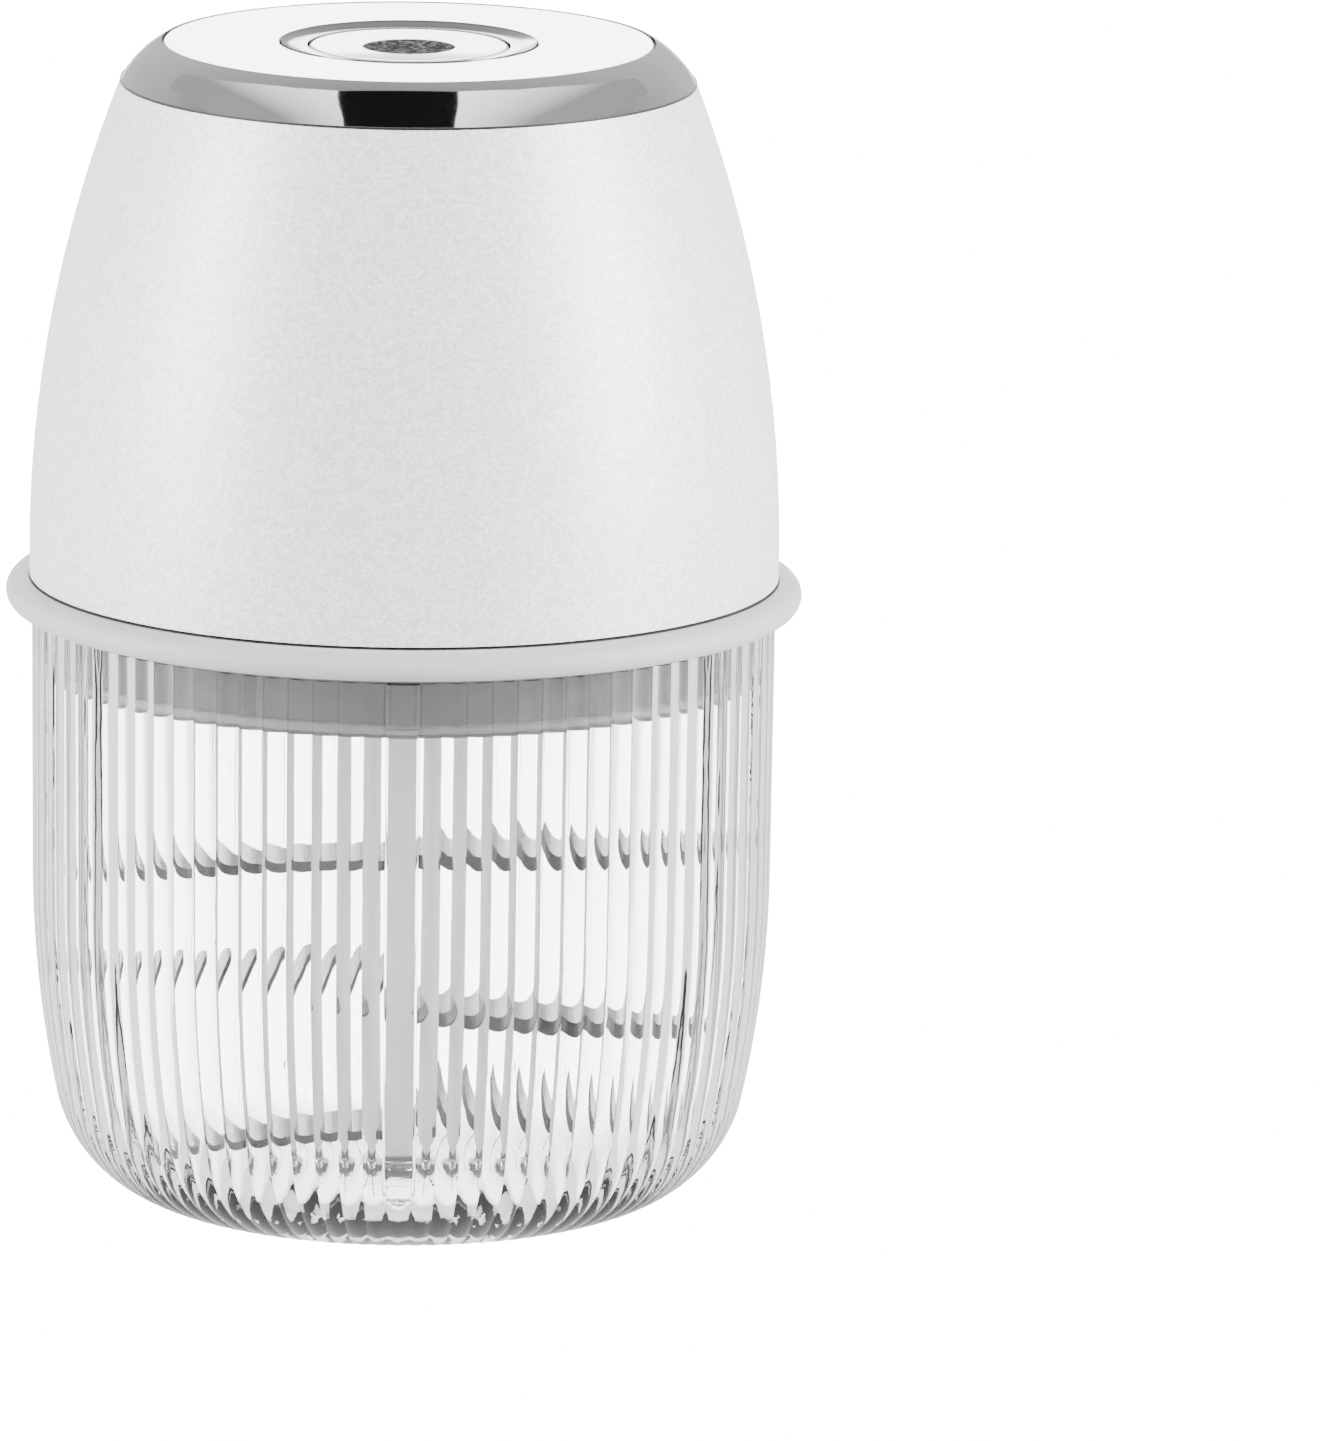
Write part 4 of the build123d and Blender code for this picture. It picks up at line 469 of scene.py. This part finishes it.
WING_TURNS = {"lower": 206, "middle": -36, "upper": 189}
for blade, turn in WING_TURNS.items():
    steel = brushed_steel(f"brushed stainless steel, {blade}", "85898c", 0.16, turn)
    finish_nodes(steel, f"{blade}_blade")

# ---------------------------------------------------------------- motor housing
# Barrel-shaped ABS shell sprayed with pearl white: fine mica flakes under a satin lacquer, which give it a
# faint sparkle and a soft sheen that rolls off towards its sides.

FLAKE = 0.32


def pearl_paint(name, colour, roughness):
    """Pearl spray paint: mica flakes under satin lacquer. Real flakes are finer than the 0.32 mm drawn."""
    material, tree = new_finish(name)
    place = add(tree, "ShaderNodeTexCoord")
    flakes = add(
        tree, "ShaderNodeTexVoronoi", {"Vector": place.outputs["Object"], "Scale": 1 / (FLAKE * MM)}
    )
    split = add(tree, "ShaderNodeSeparateColor", {"Color": flakes.outputs["Color"]})
    base = srgb(colour)
    tone = shades(
        tree,
        split.outputs[0],
        tuple(c * 0.78 for c in base[:3]) + (1.0,),
        tuple(min(1.0, c * 1.06) for c in base[:3]) + (1.0,),
        0.1,
        0.95,
    )
    peel = grain(tree, 2.6, detail=1.0)
    tilt = add(
        tree, "ShaderNodeBump", {"Height": split.outputs[1], "Distance": 0.012 * MM, "Strength": 0.35}
    )
    tree.links.new(dents(tree, peel.outputs["Fac"], 0.02, 0.15), tilt.inputs["Normal"])
    shader = add(
        tree,
        "ShaderNodeBsdfPrincipled",
        {
            "Base Color": tone,
            "Metallic": 0.15,
            "Roughness": roughness,
            "IOR": 1.5,
            "Coat Weight": 0.3,
            "Coat Roughness": 0.3,
            "Normal": tilt.outputs[0],
        },
    )
    close(tree, shader)
    return material


finish_nodes(pearl_paint("pearl white lacquer", "eeeeef", 0.5), "outer_housing")

# ---------------------------------------------------------------- bezel ring
# ABS ring, copper-nickel-chrome plated: a clean mirror that shows the lamps overhead and the dark gap
# between them. Under it a thin black band stands for the shadow in the joint: painted shade.


def chrome_plate(name):
    """Bright chrome plating with barely visible orange peel."""
    material, tree = new_finish(name)
    peel = grain(tree, 5.0, detail=1.0)
    haze = grain(tree, 20.0, detail=3.0)
    shader = add(
        tree,
        "ShaderNodeBsdfPrincipled",
        {
            "Base Color": shades(tree, haze.outputs["Fac"], srgb("d4d5d6"), srgb("dfe0e0")),
            "Metallic": 1.0,
            "Roughness": 0.045,
            "Normal": dents(tree, peel.outputs["Fac"], 0.004, 0.3),
        },
    )
    close(tree, shader)
    return material


chrome = chrome_plate("bright chrome plate")
finish_nodes(chrome, "bezel_ring")

# A thin black band in the joint under the bezel: painted shade standing in for a shadow gap.
SEAM_RADIUS = 33.1
SEAM_Z = 131.3
SEAM_HALF = 0.14
SEAM_PROUD = 0.05
SEAM_DEPTH = 0.15
SEAM_STEPS = 240
seam_outline = [
    (SEAM_RADIUS - SEAM_DEPTH, SEAM_Z - SEAM_HALF),
    (SEAM_RADIUS + SEAM_PROUD, SEAM_Z - SEAM_HALF),
    (SEAM_RADIUS + SEAM_PROUD, SEAM_Z + SEAM_HALF),
    (SEAM_RADIUS - SEAM_DEPTH, SEAM_Z + SEAM_HALF),
]
seam_turns = [2 * math.pi * k / SEAM_STEPS for k in range(SEAM_STEPS)]
seam_rings = [
    [(r * math.cos(a) * MM, r * math.sin(a) * MM, z * MM) for a in seam_turns] for r, z in seam_outline
]
seam = loop_mesh("bezel_seam", seam_rings)
soften(seam, 30)
seam.data.materials.append(silicone("painted joint shadow", "121212", 0.5))
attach(seam, "motor_unit")

# ---------------------------------------------------------------- top cover
# A glossy white acrylic disc let into the bezel.
white_acrylic = moulded_plastic(
    "high-gloss white acrylic", "ebebeb", 0.08, texture_mm=4.0, depth_mm=0.002, coat=0.6, tint=0.01
)
finish_nodes(white_acrylic, "top_cover")

# ---------------------------------------------------------------- button and its ring
# The ring is satin-anodised aluminium with turning marks. The button is glossy white ABS, and its middle is
# a dark grey, speckled insert.


SPIN_PITCH = 0.3
WAVES_PER_UNIT = 20  # of the wave node at a scale of one


def spun_aluminium(name):
    """Aluminium faced on a lathe and anodised. Its real rings are finer than the 0.3 mm drawn."""
    material, tree = new_finish(name)
    place = add(tree, "ShaderNodeTexCoord")
    ringed = add(
        tree,
        "ShaderNodeTexWave",
        {
            "Vector": place.outputs["Object"],
            "Scale": 1 / (SPIN_PITCH * MM) / WAVES_PER_UNIT,
            "Distortion": 0.2,
            "Detail": 2.0,
        },
        wave_type="RINGS",
        rings_direction="Z",
    )
    shader = add(
        tree,
        "ShaderNodeBsdfPrincipled",
        {
            "Base Color": shades(tree, ringed.outputs["Fac"], srgb("77797b"), srgb("9b9d9f"), 0.0, 1.0),
            "Metallic": 1.0,
            "Roughness": 0.16,
            "Normal": dents(tree, ringed.outputs["Fac"], 0.004, 0.3),
        },
    )
    close(tree, shader)
    return material


SPECK = 0.45


def speckled_grey(name):
    """Dark grey ABS with light speckles 0.45 mm across moulded in."""
    material, tree = new_finish(name)
    place = add(tree, "ShaderNodeTexCoord")
    specks = add(
        tree, "ShaderNodeTexVoronoi", {"Vector": place.outputs["Object"], "Scale": 1 / (SPECK * MM)}
    )
    split = add(tree, "ShaderNodeSeparateColor", {"Color": specks.outputs["Color"]})
    shader = add(
        tree,
        "ShaderNodeBsdfPrincipled",
        {
            "Base Color": shades(tree, split.outputs[0], srgb("1d1d1e"), srgb("6b6c6e"), 0.45, 1.0),
            "Roughness": 0.85,
            "IOR": 1.3,
            "Normal": dents(tree, split.outputs[1], 0.05, 0.5),
        },
    )
    close(tree, shader)
    return material


finish_nodes(spun_aluminium("satin anodised aluminium"), "button_trim_ring")
button_white = moulded_plastic(
    "glossy white ABS button", "ededed", 0.14, texture_mm=3.0, depth_mm=0.002, coat=0.5, tint=0.01
)
finish_nodes(button_white, "power_button")
finish_nodes(speckled_grey("speckled dark grey ABS"), "button_insert")

# ---------------------------------------------------------------- base cover and drive
# A matte grey ABS cover under the motor unit, with a black nylon drive dog and a nitrile seal round it.
# The shafts and screws are steel, and the bearing and brushes' ring are bronze and copper.
base_grey = moulded_plastic("matte grey ABS", "b7b8b8", 0.5)
black_nylon = moulded_plastic(
    "black glass-filled nylon", "1b1b1d", 0.5, texture_mm=0.7, depth_mm=0.02, tint=0.3
)
nitrile = silicone("black nitrile rubber", "161616", 0.6)
finish_nodes(base_grey, "base_cover")
finish_nodes(
    black_nylon, "drive_coupling", "inner_frame", "motor_end_cap", "button_guide", "socket_tongue"
)
finish_nodes(nitrile, "shaft_seal")
ground_steel = turned_metal("ground steel", "a9adb0", 0.2)
zinc_steel = turned_metal("zinc-plated steel", "b3b7ba", 0.3, groove_mm=0.4)
finish_nodes(ground_steel, "output_shaft", "planet_carrier", "carrier_pins", "motor_shaft")
finish_nodes(zinc_steel, "base_screws", "gearbox_screws", "motor_screws", "board_screws")
finish_nodes(zinc_steel, "motor_can", "button_spring")
finish_nodes(turned_metal("sintered bronze", "a9824e", 0.4, groove_mm=0.5), "base_bearing")
finish_nodes(turned_metal("machined brass", "c9a457", 0.25), "sun_gear")
finish_nodes(turned_metal("turned copper", "c07a55", 0.28), "commutator", "motor_windings")

# ---------------------------------------------------------------- gears and motor innards
# The gears and their case are natural acetal, off-white and slightly waxy.
# The motor has dark grey sintered magnets and a laminated iron core.
gear_acetal = moulded_plastic("natural acetal", "dedbcf", 0.35, depth_mm=0.006)
finish_nodes(gear_acetal, "gearbox_case", "planet_gear_1", "planet_gear_2", "planet_gear_3")
ferrite = moulded_plastic("sintered ferrite", "2d2d2f", 0.65, texture_mm=0.3, depth_mm=0.03)
finish_nodes(ferrite, "motor_magnets")
finish_nodes(turned_metal("laminated core iron", "6e7073", 0.45, groove_mm=0.5), "armature")

# ---------------------------------------------------------------- cells, boards and wiring
# Lithium cells in blue heat-shrink film with nickel tabs, green circuit boards with copper tracks under the
# solder mask, black epoxy chips and silicone-insulated leads.
shrink_film = moulded_plastic(
    "blue heat-shrink film", "2b568f", 0.22, texture_mm=2.5, depth_mm=0.03, coat=0.3
)
finish_nodes(shrink_film, "battery_cells")
nickel = turned_metal("nickel-plated steel", "c8c4b8", 0.18, groove_mm=0.6)
finish_nodes(nickel, "battery_tabs", "motor_terminals", "charging_socket")

TRACK_WIDTH = 0.12


def solder_mask(name):
    """Green solder mask over copper tracks, which show faintly through it as a grid."""
    material, tree = new_finish(name)
    place = add(tree, "ShaderNodeTexCoord")
    tracks = add(
        tree,
        "ShaderNodeTexBrick",
        {
            "Vector": place.outputs["Object"],
            "Color1": srgb("14532f"),
            "Color2": srgb("17603a"),
            "Mortar": srgb("2c8250"),
            "Scale": 1.0,
            "Mortar Size": TRACK_WIDTH * MM,
            "Brick Width": 3.1 * MM,
            "Row Height": 1.3 * MM,
        },
    )
    shader = add(
        tree,
        "ShaderNodeBsdfPrincipled",
        {"Base Color": tracks.outputs["Color"], "Roughness": 0.3, "Coat Weight": 0.4},
    )
    close(tree, shader)
    return material


finish_nodes(solder_mask("green solder mask"), "control_board", "charging_board")
epoxy = moulded_plastic("black moulded epoxy", "202022", 0.45, texture_mm=0.25, depth_mm=0.01)
finish_nodes(epoxy, "board_parts", "start_switch", "interlock_switch")
finish_nodes(silicone("red silicone insulation", "8c1f1d", 0.45), "motor_leads")

# ---------------------------------------------------------------- light table
# Not part of the object: a white acrylic floor lit from below. Seen through the glass it is brightest in
# the middle and dimmer out to the sides, and right under the object it carries a painted contact shadow.
WHITE = 18.0


def first_sight(tree, straight, glass):
    """Strength for what the camera sees straight or through glass; elsewhere the lower, other strength."""
    path = add(tree, "ShaderNodeLightPath")
    bounced = add(
        tree,
        "ShaderNodeMath",
        {0: path.outputs["Diffuse Depth"], 1: path.outputs["Glossy Depth"]},
        operation="ADD",
        use_clamp=True,
    )
    clear = add(
        tree,
        "ShaderNodeMath",
        {0: path.outputs["Is Transmission Ray"], 1: bounced.outputs[0]},
        operation="SUBTRACT",
        use_clamp=True,
    )
    through = add(
        tree, "ShaderNodeMix", {0: clear.outputs[0], 2: straight, 3: glass}, data_type="FLOAT"
    )
    return add(
        tree,
        "ShaderNodeMix",
        {0: path.outputs["Is Camera Ray"], 2: through.outputs[0], 3: WHITE},
        data_type="FLOAT",
    ).outputs[0]


GLOW_MIDDLE = 15.0
GLOW_SIDES = 4.0
GLOW_BESIDE = 2.0  # what the table sends to anything but the glass


def light_table(name):
    """A glowing sheet, dimmed out to the sides, with a painted contact shadow where the object stands."""
    material, tree = new_finish(name)
    place = add(tree, "ShaderNodeTexCoord")
    split = add(tree, "ShaderNodeSeparateXYZ", {"Vector": place.outputs["Object"]})
    across = add(tree, "ShaderNodeMath", {0: split.outputs["X"]}, operation="ABSOLUTE")
    wide = add(
        tree,
        "ShaderNodeMapRange",
        {
            "Value": across.outputs[0],
            "From Min": 0.06,
            "From Max": 0.22,
            "To Min": GLOW_MIDDLE,
            "To Max": GLOW_SIDES,
        },
        interpolation_type="SMOOTHSTEP",
    )
    # Painted contact shadow: within about 3 to 6 cm of the middle, the glow that the glass sees drops to 0.4
    # of its strength.
    away = add(tree, "ShaderNodeVectorMath", {0: place.outputs["Object"]}, operation="LENGTH")
    painted_contact_shadow = add(
        tree,
        "ShaderNodeMapRange",
        {
            "Value": away.outputs["Value"],
            "From Min": 0.028,
            "From Max": 0.06,
            "To Min": 0.4,
            "To Max": 1.0,
        },
        interpolation_type="SMOOTHSTEP",
    )
    glass = add(tree, "ShaderNodeMath", {0: wide.outputs[0], 1: painted_contact_shadow.outputs[0]}, operation="MULTIPLY")
    strength = first_sight(tree, GLOW_BESIDE, glass.outputs[0])
    close(tree, add(tree, "ShaderNodeEmission", {"Color": srgb("ffffff"), "Strength": strength}))
    return material


def board(name, corners, material):
    """A flat sheet of the studio, by its corners."""
    mesh = bpy.data.meshes.new(name)
    mesh.from_pydata(corners, [], [range(len(corners))])
    mesh.materials.append(material)
    sheet = bpy.data.objects.new(name, mesh)
    bpy.context.scene.collection.objects.link(sheet)
    return sheet


FLOOR_REACH = 6.0
FLOOR_DROP = 0.0002  # under the bowl's foot, so that the two faces don't share a plane
floor = board(
    "light_table",
    [(x * FLOOR_REACH, y * FLOOR_REACH, 0) for x, y in ((-1, -1), (1, -1), (1, 1), (-1, 1))],
    light_table("white light table"),
)
floor.location.z = -FLOOR_DROP

# ---------------------------------------------------------------- studio
# Not part of the object: a dim room, two diffusers overhead with a black board hung over the gap between
# them, a softbox low on each side, and a white strip behind that the top cover mirrors.
ROOM_FRONT = 0.12
ROOM_BACK = 0.9
SWEEP_FRONT = 3.0  # the backdrop's glow as the glass passes it on
SWEEP_BACK = 15.0
world = bpy.data.worlds.new("white studio")
bpy.context.scene.world = world
world.use_nodes = True
tree = world.node_tree
tree.nodes.clear()
way = add(tree, "ShaderNodeTexCoord")
facing = add(tree, "ShaderNodeSeparateXYZ", {"Vector": way.outputs["Generated"]})
room = add(
    tree,
    "ShaderNodeMapRange",
    {
        "Value": facing.outputs["Y"],
        "From Min": -0.5,
        "From Max": 0.9,
        "To Min": ROOM_FRONT,
        "To Max": ROOM_BACK,
    },
)
behind = add(
    tree,
    "ShaderNodeMapRange",
    {
        "Value": facing.outputs["Y"],
        "From Min": 0.2,
        "From Max": 0.9,
        "To Min": SWEEP_FRONT,
        "To Max": SWEEP_BACK,
    },
)
sky = add(
    tree,
    "ShaderNodeBackground",
    {"Color": srgb("ffffff"), "Strength": first_sight(tree, room.outputs[0], behind.outputs[0])},
)
add(tree, "ShaderNodeOutputWorld", {"Surface": sky.outputs[0]})


CLOTH_BRIGHT = 3.0
CLOTH_DIM = 0.6
CLOTH_HEIGHT = 1.1
BOARD_HEIGHT = CLOTH_HEIGHT + 0.02


def diffuser(name, near, far):
    """A lit cloth overhead, brightest along the edge beside the gap and dimming away from it."""
    material, tree = new_finish(name)
    place = add(tree, "ShaderNodeTexCoord")
    split = add(tree, "ShaderNodeSeparateXYZ", {"Vector": place.outputs["Object"]})
    glow = add(
        tree,
        "ShaderNodeMapRange",
        {
            "Value": split.outputs["X"],
            "From Min": near,
            "From Max": far,
            "To Min": CLOTH_BRIGHT,
            "To Max": CLOTH_DIM,
        },
    )
    close(tree, add(tree, "ShaderNodeEmission", {"Color": srgb("ffffff"), "Strength": glow.outputs[0]}))
    return material


def overhead(name, outline, material, height):
    """A sheet hung level above the object, by the corners (x, y) of its outline."""
    return board(name, [(x, y, height) for x, y in outline], material)


overhead(
    "right diffuser",
    [(0.34, -0.9), (0.165, 0.13), (0.37, 0.24), (0.66, 0.57), (0.95, 1.2), (1.4, 1.2), (1.4, -0.9)],
    diffuser("right diffuser cloth", 0.16, 0.8),
    CLOTH_HEIGHT,
)
overhead(
    "left diffuser",
    [
        (-0.48, -0.9),
        (-0.24, 0.13),
        (-0.39, 0.23),
        (-0.66, 0.55),
        (-0.95, 1.2),
        (-1.4, 1.2),
        (-1.4, -0.9),
    ],
    diffuser("left diffuser cloth", -0.22, -0.8),
    CLOTH_HEIGHT,
)
black, tree = new_finish("black felt")
close(tree, add(tree, "ShaderNodeBsdfDiffuse", {"Color": srgb("0c0c0d")}))
overhead(
    "black board",
    [(-0.56, -0.95), (-0.29, 0.13), (0.22, 0.13), (0.42, -0.95)],
    black,
    BOARD_HEIGHT,
)


def softbox(name, spot, aim, size, power):
    """An oblong diffused lamp at spot, facing aim."""
    data = bpy.data.lights.new(name, "AREA")
    data.shape = "RECTANGLE"
    data.size, data.size_y = size
    data.energy = power
    lamp = bpy.data.objects.new(name, data)
    lamp.location = spot
    lamp.rotation_euler = (Vector(aim) - Vector(spot)).to_track_quat("-Z", "Y").to_euler()
    bpy.context.scene.collection.objects.link(lamp)


middle = (0, 0, 0.08)
SOFTBOX_SIZE = (0.7, 1.1)
softbox("left softbox", (-1.45, -0.5, 0.45), middle, SOFTBOX_SIZE, 85)
softbox("right softbox", (1.45, -0.5, 0.45), middle, SOFTBOX_SIZE, 105)
softbox("white strip behind", (-0.1, 2.4, 0.62), middle, (0.6, 0.4), 8)

# ---------------------------------------------------------------- camera
# A long lens, 1.8 m in front and looking down at the seam, rolled half a degree, with the object left of
# the middle.
LENS = 394.7
DISTANCE = 1.791
HEIGHT = 0.4323
LOOK_DOWN = math.radians(11.851)
LOOK_RIGHT = math.radians(0.947)
ROLL = math.radians(0.524)
camera_data = bpy.data.cameras.new("camera")
camera_data.lens = LENS
camera_data.sensor_width = 36
camera_data.clip_start = 0.05
camera_data.clip_end = 50
camera = bpy.data.objects.new("camera", camera_data)
bpy.context.scene.collection.objects.link(camera)
camera.matrix_world = (
    Matrix.Translation((0, -DISTANCE, HEIGHT))
    @ Matrix.Rotation(math.pi / 2 - LOOK_DOWN, 4, "X")
    @ Matrix.Rotation(-LOOK_RIGHT, 4, "Y")
    @ Matrix.Rotation(ROLL, 4, "Z")
)
bpy.context.scene.camera = camera

bpy.context.view_layer.update()
